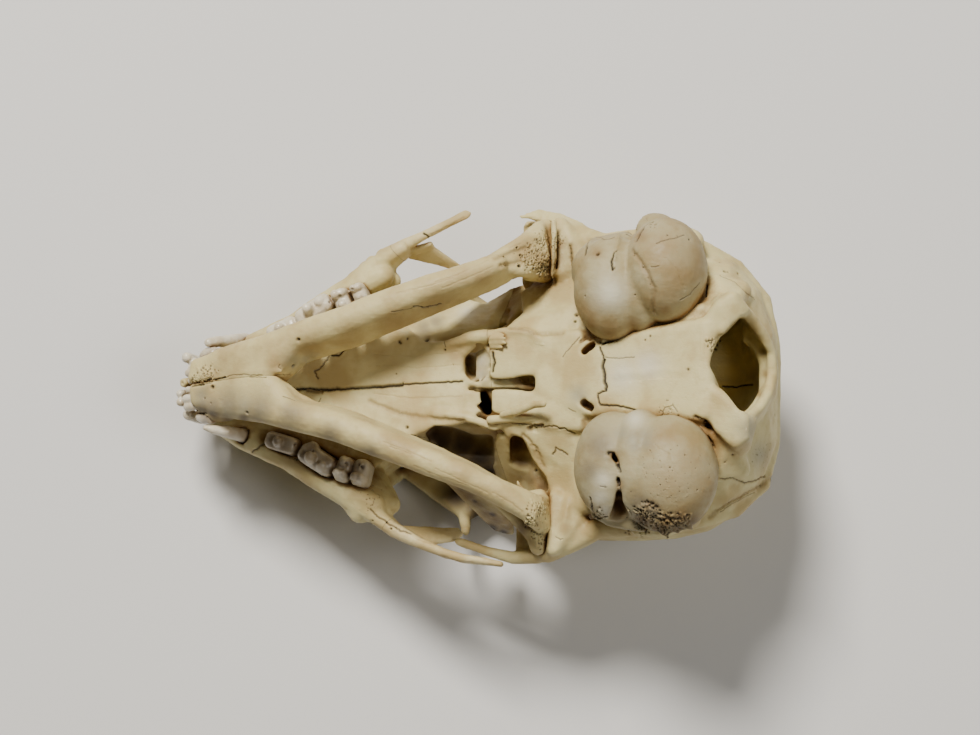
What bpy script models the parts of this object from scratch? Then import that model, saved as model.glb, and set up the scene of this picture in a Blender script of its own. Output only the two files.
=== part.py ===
"""A meerkat skull with its lower jaw in place, lying upside down on the crown and the tip of the nose.

The bones are modelled in the skull's own frame: x runs back from the rear edge of the palate,
y to the animal's left, and z down through the palate, so z points up as the skull lies.
An empty then tilts and lifts that frame into the pose in which the skull rests.
"""

import bpy
import bmesh
from math import cos, pi, radians, sin
from mathutils import Matrix, Vector

MM = 0.001

# Pose: the crown and the tip of the nose touch the ground, so the palate slopes down to the snout.
REST_PITCH = radians(17.0)
REST_SHIFT = Vector((-0.00127, 0.00029, 0.01765))

# Fits between bones, in metres.
SEAM_GAP = 0.30 * MM
JOINT_GAP = 0.35 * MM

# Where the face is parted from the braincase, behind the sockets of the eyes, in millimetres.
FACE_SEAM_X = 2.5

# The block that trims the vault at that seam is narrow enough to spare the cheek arch.
VAULT_FRONT_BLOCK = 30.8

# Squareness of the sections: 2 is an ellipse, more is boxier.
OVAL = 2.2
BOXY = 2.55

# Wall of the braincase and floor under the brain, in millimetres. The cavity's sections lie a
# little behind the vault's, the first one more so, and its end tapers.
VAULT_WALL = 1.3
VAULT_FLOOR = 3.2
CAVITY_SETBACK = 0.4
CAVITY_FRONT_SETBACK = 1.2
CAVITY_TOP_OF_FLOOR = -2.6
CAVITY_END = (30.2, 8.2, -11.1, -4.4)

# Surface detail: voxel, smoothing passes and triangles for each kind of bone.
VOXEL = {"shell": 0.50 * MM, "plate": 0.34 * MM}
SMOOTHING = 3

# Sections of the brain's vault: place along x, half width, crown and base, in millimetres.
# The first six belong to the face and overlap with the rest, from the third, of the braincase.
FACE_SECTIONS = slice(0, 6)
BRAINCASE_SECTIONS = slice(2, None)
CAVITY_SECTIONS = slice(5, -2)
VAULT = [
    (-8.5, 7.4, -15.2, -11.8),
    (-5.5, 9.4, -16.3, -11.6),
    (-3.0, 11.0, -17.2, -10.8),
    (0.0, 12.2, -18.3, -9.4),
    (2.5, 13.3, -19.2, -7.8),
    (5.0, 14.3, -20.1, -4.8),
    (8.0, 15.2, -20.7, -1.4),
    (12.0, 15.8, -20.8, 0.7),
    (17.0, 16.0, -20.2, 1.7),
    (21.0, 16.0, -19.0, 2.5),
    (25.0, 15.4, -17.2, 3.0),
    (28.4, 13.6, -14.9, 2.1),
    (30.7, 10.8, -13.1, -1.2),
    (32.2, 6.2, -11.3, -5.0),
]

# Sections of the snout and of the narrow wall between the eyes.
SNOUT = [
    (-31.2, 3.1, -4.8, 0.2),
    (-30.2, 4.0, -8.4, 0.3),
    (-28.6, 4.8, -9.75, 0.3),
    (-26.0, 5.6, -10.45, 0.2),
    (-23.0, 6.2, -11.1, 0.0),
    (-19.5, 7.2, -12.2, 0.0),
    (-16.0, 8.4, -13.2, 0.0),
    (-13.0, 8.8, -14.1, 0.0),
    (-10.5, 7.2, -14.7, 0.0),
    (-8.0, 5.4, -15.3, -0.2),
]
EYE_WALL = [
    (-9.5, 6.2, -14.6, -0.3),
    (-6.5, 5.0, -15.8, -0.3),
    (-3.0, 4.9, -17.0, -0.3),
    (-0.6, 4.8, -17.8, -0.4),
    (0.4, 4.6, -18.0, -3.8),
    (5.0, 4.6, -19.4, -3.8),
]

# Opening of the spinal canal: centre, direction and depth of its tunnel, and the balls that
# round its corners, each (distance to the side, height towards the palate, radius). Behind the
# rim the tunnel widens towards the crown, from a short way in.
CANAL_CENTRE = Vector((29.9, 0.0, 0.0))
CANAL_AXIS = Vector((0.85, 0.0, 0.52)).normalized()
CANAL_DEPTH = 5.5
CANAL_CORNERS = [(1.1, 3.3, 1.3), (4.0, 1.7, 1.3), (3.6, -1.5, 1.2), (1.6, -3.3, 1.3)]
CANAL_FLARE = (2.6, -7.6, 1.4)
CANAL_RIM_DEPTH = 0.8

# Upper cheek teeth: crown centre, length along the row, width, height and turn of the row in degrees.
UPPER_CHEEK_TEETH = [
    ("premolar", -20.9, 6.9, 2.7, 1.5, 2.0, 25.0),
    ("carnassial", -16.7, 8.8, 4.3, 2.1, 2.6, 27.0),
    ("molar", -13.1, 10.2, 2.4, 3.3, 1.9, 20.0),
    ("molar", -11.0, 10.5, 1.7, 2.6, 1.5, 20.0),
]
LOWER_CHEEK_TEETH = [
    ("premolar", -23.0, 3.3, 1.8, 1.0, 1.5, 12.0),
    ("premolar", -20.6, 3.7, 2.2, 1.2, 1.9, 14.0),
    ("premolar", -17.8, 4.5, 2.8, 1.4, 2.2, 18.0),
    ("carnassial", -14.2, 5.5, 3.9, 1.8, 2.3, 20.0),
    ("molar", -10.8, 6.6, 2.4, 1.8, 1.6, 22.0),
]

# Half of the lower jaw: centre line (x, y), lower and upper border, half thickness.
JAW_BAR = [
    (-29.7, 1.6, 4.9, 3.0, 1.0),
    (-27.0, 2.3, 6.3, 3.2, 1.5),
    (-23.5, 2.6, 7.7, 3.2, 1.6),
    (-20.5, 3.0, 8.5, 3.2, 1.6),
    (-17.6, 3.9, 8.9, 3.2, 1.6),
    (-11.7, 5.7, 9.1, 3.1, 1.6),
    (-6.5, 7.9, 8.8, 2.9, 1.6),
    (-2.5, 9.6, 8.2, 2.6, 1.5),
    (1.5, 11.3, 7.2, 2.0, 1.35),
    (5.0, 12.6, 5.9, 1.0, 1.1),
]

# Chambers of the ear capsules: centre and radii. The left one has a bump at its side, and the
# right one reaches a little further back.
BULLA_CHAMBERS = {
    "bulla_left": [((16.8, 9.4, 2.4), (4.2, 5.7, 4.7)), ((22.6, 11.0, 2.7), (4.4, 5.7, 5.2)),
                   ((21.2, 15.6, 2.0), (2.4, 1.9, 2.2))],
    "bulla_right": [((17.3, 9.8, 2.4), (4.3, 5.8, 4.7)), ((23.3, 10.8, 2.7), (5.1, 6.2, 5.2))],
}

BONE = (0.77, 0.70, 0.56, 1.0)
BONE_PALE = (0.82, 0.76, 0.64, 1.0)
BONE_TAN = (0.70, 0.61, 0.45, 1.0)

LEFT = 1
RIGHT = -1
SIDES = {"left": LEFT, "right": RIGHT}

# How much further back the root of the cheek arch reaches on each side, in millimetres.
CHEEK_ROOT_BACK = {LEFT: 0.0, RIGHT: 0.8}


def clear_scene():
    for leftover in list(bpy.data.objects):
        bpy.data.objects.remove(leftover)


def new_collection(name):
    collection = bpy.data.collections.new(name)
    bpy.context.scene.collection.children.link(collection)
    return collection


def bone_material(name, colour, roughness):
    material = bpy.data.materials.new(name)
    material.use_nodes = True
    shader = material.node_tree.nodes["Principled BSDF"]
    shader.inputs["Base Color"].default_value = colour
    shader.inputs["Roughness"].default_value = roughness
    shader.inputs["Metallic"].default_value = 0.0
    return material


def mesh_object(name, bm, collection):
    """Turn a bmesh into an object with its faces pointing out."""
    bmesh.ops.recalc_face_normals(bm, faces=bm.faces)
    mesh = bpy.data.meshes.new(name)
    bm.to_mesh(mesh)
    bm.free()
    piece = bpy.data.objects.new(name, mesh)
    collection.objects.link(piece)
    return piece


def hull(pieces, side, balls, detail=2):
    """Skin a set of balls, each (x, y, z, radius) in millimetres, with their convex hull."""
    bm = bmesh.new()
    for x, y, z, radius in balls:
        place = Matrix.Translation(Vector((x, y * side, z)) * MM)
        bmesh.ops.create_icosphere(bm, subdivisions=detail, radius=radius * MM, matrix=place)
    bmesh.ops.delete(bm, geom=bm.edges[:], context="EDGES_FACES")
    skin = bmesh.ops.convex_hull(bm, input=bm.verts[:])
    spare = [item for item in skin["geom_interior"] if isinstance(item, bmesh.types.BMVert)]
    bmesh.ops.delete(bm, geom=list(set(spare)), context="VERTS")
    return mesh_object("piece", bm, pieces)


def limb(pieces, side, balls, detail=2):
    """A rod of changing thickness through the balls, one hull for each stretch."""
    for start, end in zip(balls, balls[1:]):
        hull(pieces, side, [start, end], detail)


def strap(pieces, side, stations):
    """A flat rod that stands on edge: each station is (x, y, z, half height, radius)."""
    for start, end in zip(stations, stations[1:]):
        balls = []
        for x, y, z, half_height, radius in (start, end):
            balls.append((x, y, z - half_height, radius))
            balls.append((x, y, z + half_height, radius))
        hull(pieces, side, balls)


def ellipsoid(pieces, side, centre, radii, detail=3):
    bm = bmesh.new()
    place = Matrix.Translation(Vector((centre[0], centre[1] * side, centre[2])) * MM)
    stretch = Matrix.Diagonal((*radii, 1.0 / MM)) * MM
    bmesh.ops.create_icosphere(bm, subdivisions=detail, radius=1.0, matrix=place @ stretch)
    return mesh_object("piece", bm, pieces)


def loft(pieces, sections, squareness, segments=32):
    """Bridge upright oval sections, each (x, half width, top, base) in millimetres."""
    bm = bmesh.new()
    rings = []
    for x, half_width, top, base in sections:
        ring = bmesh.ops.create_circle(bm, segments=segments, radius=1.0)["verts"]
        for index, vert in enumerate(ring):
            angle = 2.0 * pi * index / segments
            across = abs(cos(angle)) ** (2.0 / squareness) * (1 if cos(angle) > 0 else -1)
            upward = abs(sin(angle)) ** (2.0 / squareness) * (1 if sin(angle) > 0 else -1)
            height = (base + top) / 2.0 + upward * (base - top) / 2.0
            vert.co = Vector((x, half_width * across, height)) * MM
        rings.append(ring)
    for ring, following in zip(rings, rings[1:]):
        edges = [edge for edge in bm.edges if all(vert in ring or vert in following for vert in edge.verts)]
        bmesh.ops.bridge_loops(bm, edges=edges)
    for ring in (rings[0], rings[-1]):
        bmesh.ops.contextual_create(bm, geom=ring)
    bmesh.ops.triangulate(bm, faces=[face for face in bm.faces if len(face.verts) > 4])
    return mesh_object("piece", bm, pieces)


def evaluated_mesh(source):
    graph = bpy.context.evaluated_depsgraph_get()
    return bpy.data.meshes.new_from_object(source.evaluated_get(graph))


def apply_modifiers(piece):
    """Write the piece's modifiers into its mesh."""
    mesh = evaluated_mesh(piece)
    piece.modifiers.clear()
    piece.data = mesh


def remove_pieces(pieces):
    for piece in list(pieces.objects):
        bpy.data.objects.remove(piece)
    bpy.data.collections.remove(pieces)


def keep_largest_body(piece):
    """Drop all but the largest closed surface."""
    bm = bmesh.new()
    bm.from_mesh(piece.data)
    unseen = set(bm.verts)
    bodies = []
    while unseen:
        edge_of_search = [unseen.pop()]
        body = list(edge_of_search)
        while edge_of_search:
            vert = edge_of_search.pop()
            for edge in vert.link_edges:
                other = edge.other_vert(vert)
                if other in unseen:
                    unseen.remove(other)
                    body.append(other)
                    edge_of_search.append(other)
        bodies.append(body)
    bodies.sort(key=len, reverse=True)
    scraps = [vert for body in bodies[1:] for vert in body]
    bmesh.ops.delete(bm, geom=scraps, context="VERTS")
    bm.to_mesh(piece.data)
    bm.free()


def join(pieces, name, home):
    """One Boolean union of all the closed pieces in the collection."""
    body = bpy.data.objects.new(name, bpy.data.meshes.new(name))
    home.objects.link(body)
    union = body.modifiers.new("union", "BOOLEAN")
    union.operation = "UNION"
    union.operand_type = "COLLECTION"
    union.collection = pieces
    union.solver = "MANIFOLD"
    apply_modifiers(body)
    remove_pieces(pieces)
    return body


def melt(body, voxel, triangles):
    """Melt the joins between pieces into one smooth skin of about the given number of triangles."""
    remesh = body.modifiers.new("skin", "REMESH")
    remesh.mode = "VOXEL"
    remesh.voxel_size = voxel
    smooth = body.modifiers.new("smooth", "SMOOTH")
    smooth.factor = 0.5
    smooth.iterations = SMOOTHING
    apply_modifiers(body)
    keep_largest_body(body)
    body.data.calc_loop_triangles()
    thin = body.modifiers.new("thin", "DECIMATE")
    thin.ratio = min(1.0, triangles / len(body.data.loop_triangles))
    apply_modifiers(body)
    return body


def cut(body, cutter):
    """Take the cutter out of the body."""
    cutter.hide_render = True
    cutter.display_type = "WIRE"
    difference = body.modifiers.new("cut", "BOOLEAN")
    difference.operation = "DIFFERENCE"
    difference.object = cutter
    difference.solver = "EXACT"
    apply_modifiers(body)
    keep_largest_body(body)


def add_teeth(body, teeth):
    """Fuse a collection of crowns, rooted in the bone, to the bone that carries them."""
    union = body.modifiers.new("teeth", "BOOLEAN")
    union.operation = "UNION"
    union.operand_type = "COLLECTION"
    union.collection = teeth
    union.solver = "EXACT"
    apply_modifiers(body)
    remove_pieces(teeth)
    keep_largest_body(body)


def half_space(cutters, point, normal, size=90.0):
    """A block that fills the side of a plane that its normal points to; millimetres."""
    bm = bmesh.new()
    bmesh.ops.create_cube(bm, size=size * MM)
    direction = Vector(normal).normalized()
    turn = direction.to_track_quat("Z", "Y").to_matrix().to_4x4()
    centre = Vector(point) * MM + direction * (size * MM / 2.0)
    bmesh.ops.transform(bm, matrix=Matrix.Translation(centre) @ turn, verts=bm.verts)
    return mesh_object("block", bm, cutters)


def grown_copy(cutters, body, gap):
    """The body swollen by the gap, to cut its seat in a neighbour."""
    bm = bmesh.new()
    bm.from_mesh(body.data)
    bm.normal_update()
    shifts = [vert.normal * gap for vert in bm.verts]
    for vert, shift in zip(bm.verts, shifts):
        vert.co += shift
    return mesh_object("seat", bm, cutters)


def crown(teeth, side, kind, x, y, length, width, height, turn, neck_z, down):
    """A cheek tooth: a waisted base rooted in the jaw and one, three or four cusps."""
    angle = radians(turn)
    along = Vector((cos(angle), sin(angle), 0.0))
    across = Vector((-sin(angle), cos(angle), 0.0))
    cusps = {
        "premolar": [(0.0, 0.1, 1.0), (0.38, 0.0, 0.45)],
        "carnassial": [(-0.12, 0.15, 1.0), (0.34, 0.2, 0.72), (-0.34, -0.38, 0.55), (-0.4, 0.2, 0.4)],
        "molar": [(-0.25, 0.36, 1.0), (0.28, 0.34, 0.9), (0.0, -0.36, 0.75)],
    }[kind]
    corner = min(length, width) * 0.26
    footing = []
    for end in (-1.0, 1.0):
        for flank in (-1.0, 1.0):
            place = along * end * (length / 2.0 - corner) + across * flank * (width / 2.0 - corner)
            footing.append((x + place.x, y + place.y, corner))
    for forward, outward, share in cusps:
        tip = along * forward * length * 0.8 + across * outward * width * 0.8
        balls = [(fx, fy, neck_z + down * depth, size)
                 for fx, fy, size in footing for depth in (-1.0, height * 0.25)]
        tip_radius = corner * 0.75
        balls.append((x + tip.x, y + tip.y, neck_z + down * (height * share - tip_radius), tip_radius))
        hull(teeth, side, balls, detail=1)


def snout_and_palate(pieces):
    loft(pieces, SNOUT, BOXY)
    loft(pieces, EYE_WALL, BOXY)
    loft(pieces, VAULT[FACE_SECTIONS], OVAL)
    for side in SIDES.values():
        hull(pieces, side, [(-28.5, 2.8, -0.5, 0.7), (-24.0, 4.6, -0.6, 0.7), (-16.0, 7.2, -0.7, 0.7),
                            (-11.0, 8.4, -0.7, 0.7), (-5.0, 5.0, -0.7, 0.6), (-0.6, 4.3, -0.7, 0.6),
                            (-28.5, -2.0, -0.5, 0.7), (-0.6, -4.0, -0.7, 0.6)])
        limb(pieces, side, [(-29.6, 2.9, -1.2, 1.3), (-26.2, 4.7, -0.8, 1.4), (-23.4, 6.0, -1.0, 1.3),
                            (-20.9, 6.9, -0.9, 1.1), (-16.7, 9.1, -0.9, 1.3), (-13.1, 11.3, -0.9, 1.5),
                            (-10.6, 12.6, -0.9, 1.3)])
        limb(pieces, side, [(-24.6, 5.5, -0.6, 1.5), (-22.6, 5.8, -5.2, 1.3)])


def cheek_root(pieces, side):
    """The part of the upper jaw that carries the cheek bone, and the front rim of the eye socket."""
    back = CHEEK_ROOT_BACK[side]
    hull(pieces, side, [(-14.5, 9.8, -2.4, 1.7), (-11.4, 13.0, -1.6, 1.5), (-9.8 + back, 12.4, -3.0, 1.1),
                        (-12.6, 8.6, -6.0, 1.4)])
    strap(pieces, side, [(-11.6, 13.0, -2.0, 0.9, 1.2), (-8.5, 15.4, -1.8, 0.8, 0.9),
                         (-6.0, 16.8, -1.6, 0.6, 0.6)])
    limb(pieces, side, [(-10.6, 11.6, -3.0, 1.1), (-12.6, 9.6, -8.0, 1.1), (-12.4, 7.6, -13.0, 1.0)])


def brow(pieces, side):
    """The process of the frontal bone that borders the eye socket from behind."""
    hull(pieces, side, [(-11.0, 7.2, -13.4, 0.8), (-7.0, 10.2, -12.9, 0.7), (-3.6, 12.6, -12.3, 0.6),
                        (-1.8, 10.4, -13.4, 0.9), (-6.0, 8.2, -14.8, 0.9), (0.0, 9.8, -15.4, 0.9)])
    limb(pieces, side, [(-3.8, 12.5, -12.3, 0.7), (-3.0, 14.2, -10.6, 0.55), (-2.7, 14.7, -9.6, 0.5)])


def nose_cutters(cutters):
    yield hull(cutters, 1, [(-34.0, 1.0, -5.2, 1.9), (-34.0, -1.0, -5.2, 1.9), (-26.0, 0.8, -5.6, 1.6),
                            (-26.0, -0.8, -5.6, 1.6), (-33.0, 0.0, -3.6, 1.5)])
    yield hull(cutters, 1, [(-7.0, 1.4, -2.8, 1.0), (-7.0, -1.4, -2.8, 1.0), (1.6, 2.0, -2.7, 1.1),
                            (1.6, -2.0, -2.7, 1.1)])


def upper_teeth(teeth):
    incisors = {"left": [(0.7, 0.8), (3.1, 1.0)], "right": [(0.6, 1.0), (1.8, 1.0), (3.1, 1.05)]}
    for name, side in SIDES.items():
        for y, size in incisors[name]:
            limb(teeth, side, [(-30.2, y * 0.9, -1.6, 0.5), (-31.2, y, 0.4, 0.52 * size),
                               (-31.8, y * 1.03, 2.6, 0.55 * size)], detail=1)
        limb(teeth, side, [(-23.4, 5.9, -2.2, 0.9), (-24.6, 5.8, 0.5, 1.0), (-26.5, 5.4, 3.1, 0.85),
                           (-28.5, 4.9, 5.2, 0.42)], detail=2)
        for kind, x, y, length, width, height, turn in UPPER_CHEEK_TEETH:
            crown(teeth, side, kind, x, y, length, width, height, turn, 0.3, 1.0)


def build_face(home):
    pieces = new_collection("face pieces")
    snout_and_palate(pieces)
    for side in SIDES.values():
        cheek_root(pieces, side)
        brow(pieces, side)
    face = melt(join(pieces, "face", home), VOXEL["shell"], 2900)
    cutters = new_collection("face cutters")
    for cutter in nose_cutters(cutters):
        cut(face, cutter)
    cut(face, half_space(cutters, (FACE_SEAM_X - SEAM_GAP / MM / 2.0, 0.0, 0.0), (1.0, 0.0, 0.0)))
    for side in SIDES.values():
        cut(face, ellipsoid(cutters, side, (-15.6, 9.9, -4.3), (1.5, 1.2, 0.8), 2))
        cut(face, cheek_seam(cutters, side, 1.0))
    remove_pieces(cutters)
    teeth = new_collection("upper teeth")
    upper_teeth(teeth)
    add_teeth(face, teeth)
    return face


def cheek_seam(cutters, side, direction):
    """Everything behind (1) or in front of (-1) the oblique seam between upper jaw and cheek bone."""
    normal = Vector((0.77, 0.64 * side, 0.0)).normalized() * direction
    point = Vector((-8.6, 14.8 * side, -2.0)) - normal * SEAM_GAP / MM / 2.0
    return half_space(cutters, point, normal, 12.0)


def build_jugal(name, side, home):
    pieces = new_collection(name + " pieces")
    tail = [(-10.4, 14.0, -1.9, 0.9, 1.0), (-8.2, 15.7, -1.8, 0.9, 0.85), (-5.2, 17.2, -1.6, 0.8, 0.62),
            (-2.4, 18.3, -1.3, 0.6, 0.48), (-0.3, 19.1, -1.1, 0.5, 0.44)]
    if side == RIGHT:
        tail += [(2.4, 19.6, -1.0, 0.35, 0.44), (4.2, 19.7, -1.0, 0.2, 0.38)]
    strap(pieces, side, tail)
    hull(pieces, side, [(-7.6, 15.4, -2.9, 0.6), (-4.6, 16.9, -2.5, 0.6), (-4.0, 15.3, -7.8, 0.5),
                        (-2.9, 15.4, -8.0, 0.45)])
    jugal = melt(join(pieces, name, home), VOXEL["plate"], 300)
    cutters = new_collection(name + " cutters")
    cut(jugal, cheek_seam(cutters, side, -1.0))
    remove_pieces(cutters)
    return jugal


def canal_corners(along):
    """The balls at the corners of the spinal canal, at a distance along its tunnel."""
    up = Vector((-CANAL_AXIS.z, 0.0, CANAL_AXIS.x))
    balls = []
    for across, lift, radius in CANAL_CORNERS:
        place = CANAL_CENTRE + CANAL_AXIS * along + up * lift
        balls.append((place.x, across, place.z, radius))
        balls.append((place.x, -across, place.z, radius))
    return balls


def brain_cavity(pieces):
    """The space for the brain and the canal that opens it to the back of the skull."""
    sections = []
    for x, half_width, top, base in VAULT[CAVITY_SECTIONS]:
        setback = CAVITY_SETBACK if sections else CAVITY_FRONT_SETBACK
        sections.append((x + setback, half_width - VAULT_WALL, top + VAULT_WALL,
                         min(base - VAULT_FLOOR, CAVITY_TOP_OF_FLOOR)))
    sections.append(CAVITY_END)
    loft(pieces, sections, OVAL)
    inner = canal_corners(-CANAL_DEPTH)
    hull(pieces, 1, inner + canal_corners(CANAL_DEPTH))
    across, height, radius = CANAL_FLARE
    flare = [(CANAL_CENTRE.x, sideways, height, radius) for sideways in (across, -across)]
    hull(pieces, 1, inner + canal_corners(-CANAL_RIM_DEPTH) + flare)


def skull_base(pieces, side):
    """Basal plate, its side wings, the rim of the spinal canal and the condyles of the neck."""
    hull(pieces, side, [(8.8, 2.3, 0.1, 0.8), (14.0, 3.4, 1.1, 0.9), (20.0, 3.8, 2.0, 0.9),
                        (27.8, 4.6, 3.5, 1.0), (8.8, -2.3, 0.1, 0.8), (14.0, -3.4, 1.1, 0.9),
                        (20.0, -3.8, 2.0, 0.9), (27.8, -4.6, 3.5, 1.0), (9.0, 2.0, -3.0, 1.0),
                        (27.0, 4.0, -1.0, 1.0)])
    limb(pieces, side, [(27.0, 3.8, 3.6, 1.2), (29.2, 6.4, 3.7, 1.7), (30.8, 6.7, 2.6, 1.6),
                        (31.8, 5.6, 0.0, 1.2), (32.3, 3.2, -3.1, 0.9), (32.4, 0.0, -4.5, 0.8)])
    hull(pieces, side, [(27.0, 9.4, 1.0, 1.4), (29.0, 10.6, -0.5, 1.4), (28.4, 10.9, 3.4, 0.8)])


def ear_region(pieces, side):
    """The jaw joint's shelf, the ridge behind it, and the root that runs back to the mastoid."""
    hull(pieces, side, [(5.6, 12.4, -5.2, 1.2), (5.4, 18.4, -4.6, 0.8), (11.4, 12.0, -3.4, 1.5),
                        (11.4, 16.8, -3.6, 1.2)])
    hull(pieces, side, [(9.9, 12.0, -1.8, 0.8), (9.7, 18.0, -1.7, 0.8), (12.4, 14.6, -2.6, 1.3)])
    limb(pieces, side, [(8.6, 18.2, -3.2, 1.1), (11.6, 17.0, -3.2, 1.1), (14.4, 15.5, -2.8, 1.2),
                        (18.5, 15.6, -1.4, 1.3), (22.0, 15.8, 0.4, 1.5), (24.6, 14.8, -0.6, 1.5)])
    limb(pieces, side, [(24.4, 15.2, -2.6, 0.9), (28.2, 13.4, -6.6, 0.9), (30.9, 10.2, -9.2, 0.8),
                        (31.7, 5.2, -10.8, 0.75), (31.7, 0.0, -11.2, 0.75)])


def cheek_process(pieces, side):
    """The squamosal's share of the arch: whole on the right, a broken stub on the left."""
    if side == RIGHT:
        limb(pieces, side, [(7.4, 18.4, -3.6, 0.95), (4.6, 18.6, -3.5, 0.75), (1.6, 17.8, -3.6, 0.6),
                            (-1.6, 16.7, -3.7, 0.5)])
    else:
        limb(pieces, side, [(7.4, 18.4, -3.4, 0.95), (5.9, 18.9, -2.8, 0.75), (4.9, 19.2, -2.3, 0.45)])


def build_braincase(home):
    pieces = new_collection("braincase pieces")
    loft(pieces, VAULT[BRAINCASE_SECTIONS], OVAL)
    loft(pieces, [(1.0, 4.6, -18.2, -3.8), (5.0, 4.6, -19.4, -3.8), (10.0, 4.6, -19.4, -3.2)], BOXY)
    for side in SIDES.values():
        skull_base(pieces, side)
        ear_region(pieces, side)
        cheek_process(pieces, side)
    braincase = melt(join(pieces, "braincase", home), VOXEL["shell"], 2700)
    cutters = new_collection("braincase cutters")
    front = (FACE_SEAM_X + SEAM_GAP / MM / 2.0, 0.0, -8.0)
    cut(braincase, half_space(cutters, front, (-1.0, 0.0, 0.0), VAULT_FRONT_BLOCK))
    hollow = new_collection("hollow pieces")
    brain_cavity(hollow)
    cut(braincase, melt(join(hollow, "hollow", cutters), VOXEL["shell"], 800))
    for side in SIDES.values():
        cut(braincase, hull(cutters, side, [(13.7, 2.9, 0.6, 0.45), (14.5, 3.2, 0.6, 0.45), (13.7, 2.9, 3.6, 0.45),
                                            (14.5, 3.2, 3.6, 0.45)], detail=1))
    remove_pieces(cutters)
    return braincase


def build_bulla(name, side, home):
    """The ear capsule: a small front chamber and a larger rear one, with a groove between."""
    pieces = new_collection(name + " pieces")
    for centre, radii in BULLA_CHAMBERS[name]:
        ellipsoid(pieces, side, centre, radii)
    bulla = melt(join(pieces, name, home), VOXEL["shell"], 620)
    cutters = new_collection(name + " cutters")
    cut(bulla, half_space(cutters, (19.0, 9.0 * side, -0.6), (0.0, 0.0, -1.0), 30.0))
    cut(bulla, ellipsoid(cutters, side, (19.6, 16.6, 2.6), (1.4, 2.4, 1.3), 2))
    remove_pieces(cutters)
    return bulla


def build_pterygoid(name, side, home):
    """The thin plate beside the throat, ending in a small hook."""
    pieces = new_collection(name + " pieces")
    hull(pieces, side, [(0.8, 3.7, -3.0, 0.45), (9.4, 3.7, -1.0, 0.45), (0.8, 4.4, -0.4, 0.45),
                        (5.6, 3.8, 1.6, 0.42), (8.6, 3.5, 3.4, 0.42)])
    limb(pieces, side, [(8.4, 3.5, 3.2, 0.45), (9.6, 3.3, 4.6, 0.38)])
    return melt(join(pieces, name, home), VOXEL["plate"], 220)


def jaw_bar(pieces, side):
    for start, end in zip(JAW_BAR, JAW_BAR[1:]):
        balls = []
        for x, y, low, high, radius in (start, end):
            balls.append((x, y, low - radius, radius))
            balls.append((x, y, high + radius, radius))
            if x < -19.0:
                balls.append((x, 0.6, low - radius, radius * 0.9))
                balls.append((x, 0.6, high + radius, radius * 0.8))
        hull(pieces, side, balls)
    hull(pieces, side, [(-20.6, 1.0, 7.2, 1.0), (-20.6, 1.6, 5.6, 1.2), (-18.9, 0.7, 8.4, 0.5)])


def jaw_branch(pieces, side):
    """The upright blade for the chewing muscle, the joint's condyle and the rear corner of the jaw."""
    hull(pieces, side, [(-1.6, 10.2, 3.4, 0.9), (0.6, 14.3, -10.6, 0.5), (2.2, 14.7, -10.8, 0.5),
                        (3.9, 13.2, -3.2, 0.6), (4.6, 12.5, 3.4, 0.9)])
    hull(pieces, side, [(4.4, 12.6, 3.4, 1.0), (4.2, 12.9, -1.4, 0.7), (6.9, 13.2, -2.0, 0.8),
                        (6.9, 15.6, -2.0, 0.8)])
    limb(pieces, side, [(7.5, 12.4, -2.3, 0.85), (7.7, 15.0, -2.4, 0.95), (7.5, 17.6, -2.2, 0.9)])
    limb(pieces, side, [(4.4, 12.5, 4.4, 1.2), (7.6, 13.2, 4.3, 0.8), (8.8, 13.4, 3.5, 0.5)])


def build_mandible(name, side, home):
    pieces = new_collection(name + " pieces")
    jaw_bar(pieces, side)
    jaw_branch(pieces, side)
    mandible = melt(join(pieces, name, home), VOXEL["plate"], 1000)
    cutters = new_collection(name + " cutters")
    cut(mandible, half_space(cutters, (0.0, SEAM_GAP / MM / 2.0 * side, 0.0), (0.0, -side, 0.0)))
    remove_pieces(cutters)
    teeth = new_collection(name + " teeth")
    for y in (0.62, 1.45, 2.35):
        limb(teeth, side, [(-28.6, y * 0.9, 4.4, 0.45), (-29.9, y, 3.7, 0.42), (-30.35, y * 1.02, 2.5, 0.4)], detail=1)
    limb(teeth, side, [(-26.6, 2.6, 5.0, 1.0), (-28.0, 3.3, 3.2, 0.9), (-28.2, 3.8, 1.6, 0.5)])
    for kind, x, y, length, width, height, turn in LOWER_CHEEK_TEETH:
        crown(teeth, side, kind, x, y, length, width, height, turn, 3.5, -1.0)
    add_teeth(mandible, teeth)
    return mandible


def seat(body, neighbours, gap, cutters):
    """Clear the body of its neighbours by the gap."""
    for neighbour in neighbours:
        cut(body, grown_copy(cutters, neighbour, gap))


def flatten_rest(bodies, cutters):
    """Wear small flats on the crown and the tip of the nose, where the skull rests."""
    down = Vector((-sin(REST_PITCH), 0.0, -cos(REST_PITCH)))
    ground = down * REST_SHIFT.z / MM
    for body in bodies:
        cut(body, half_space(cutters, ground, down))


def finish(bones, materials):
    rest = bpy.data.objects.new("rest_pose", None)
    bpy.context.scene.collection.objects.link(rest)
    rest.rotation_euler = (0.0, -REST_PITCH, 0.0)
    rest.location = REST_SHIFT
    for name, bone in bones.items():
        bone.name = name
        bone.parent = rest
        bone.data.materials.clear()
        bone.data.materials.append(materials[name])
        bone.data.shade_smooth()
        bone.data.set_sharp_from_angle(angle=radians(50.0))


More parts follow.
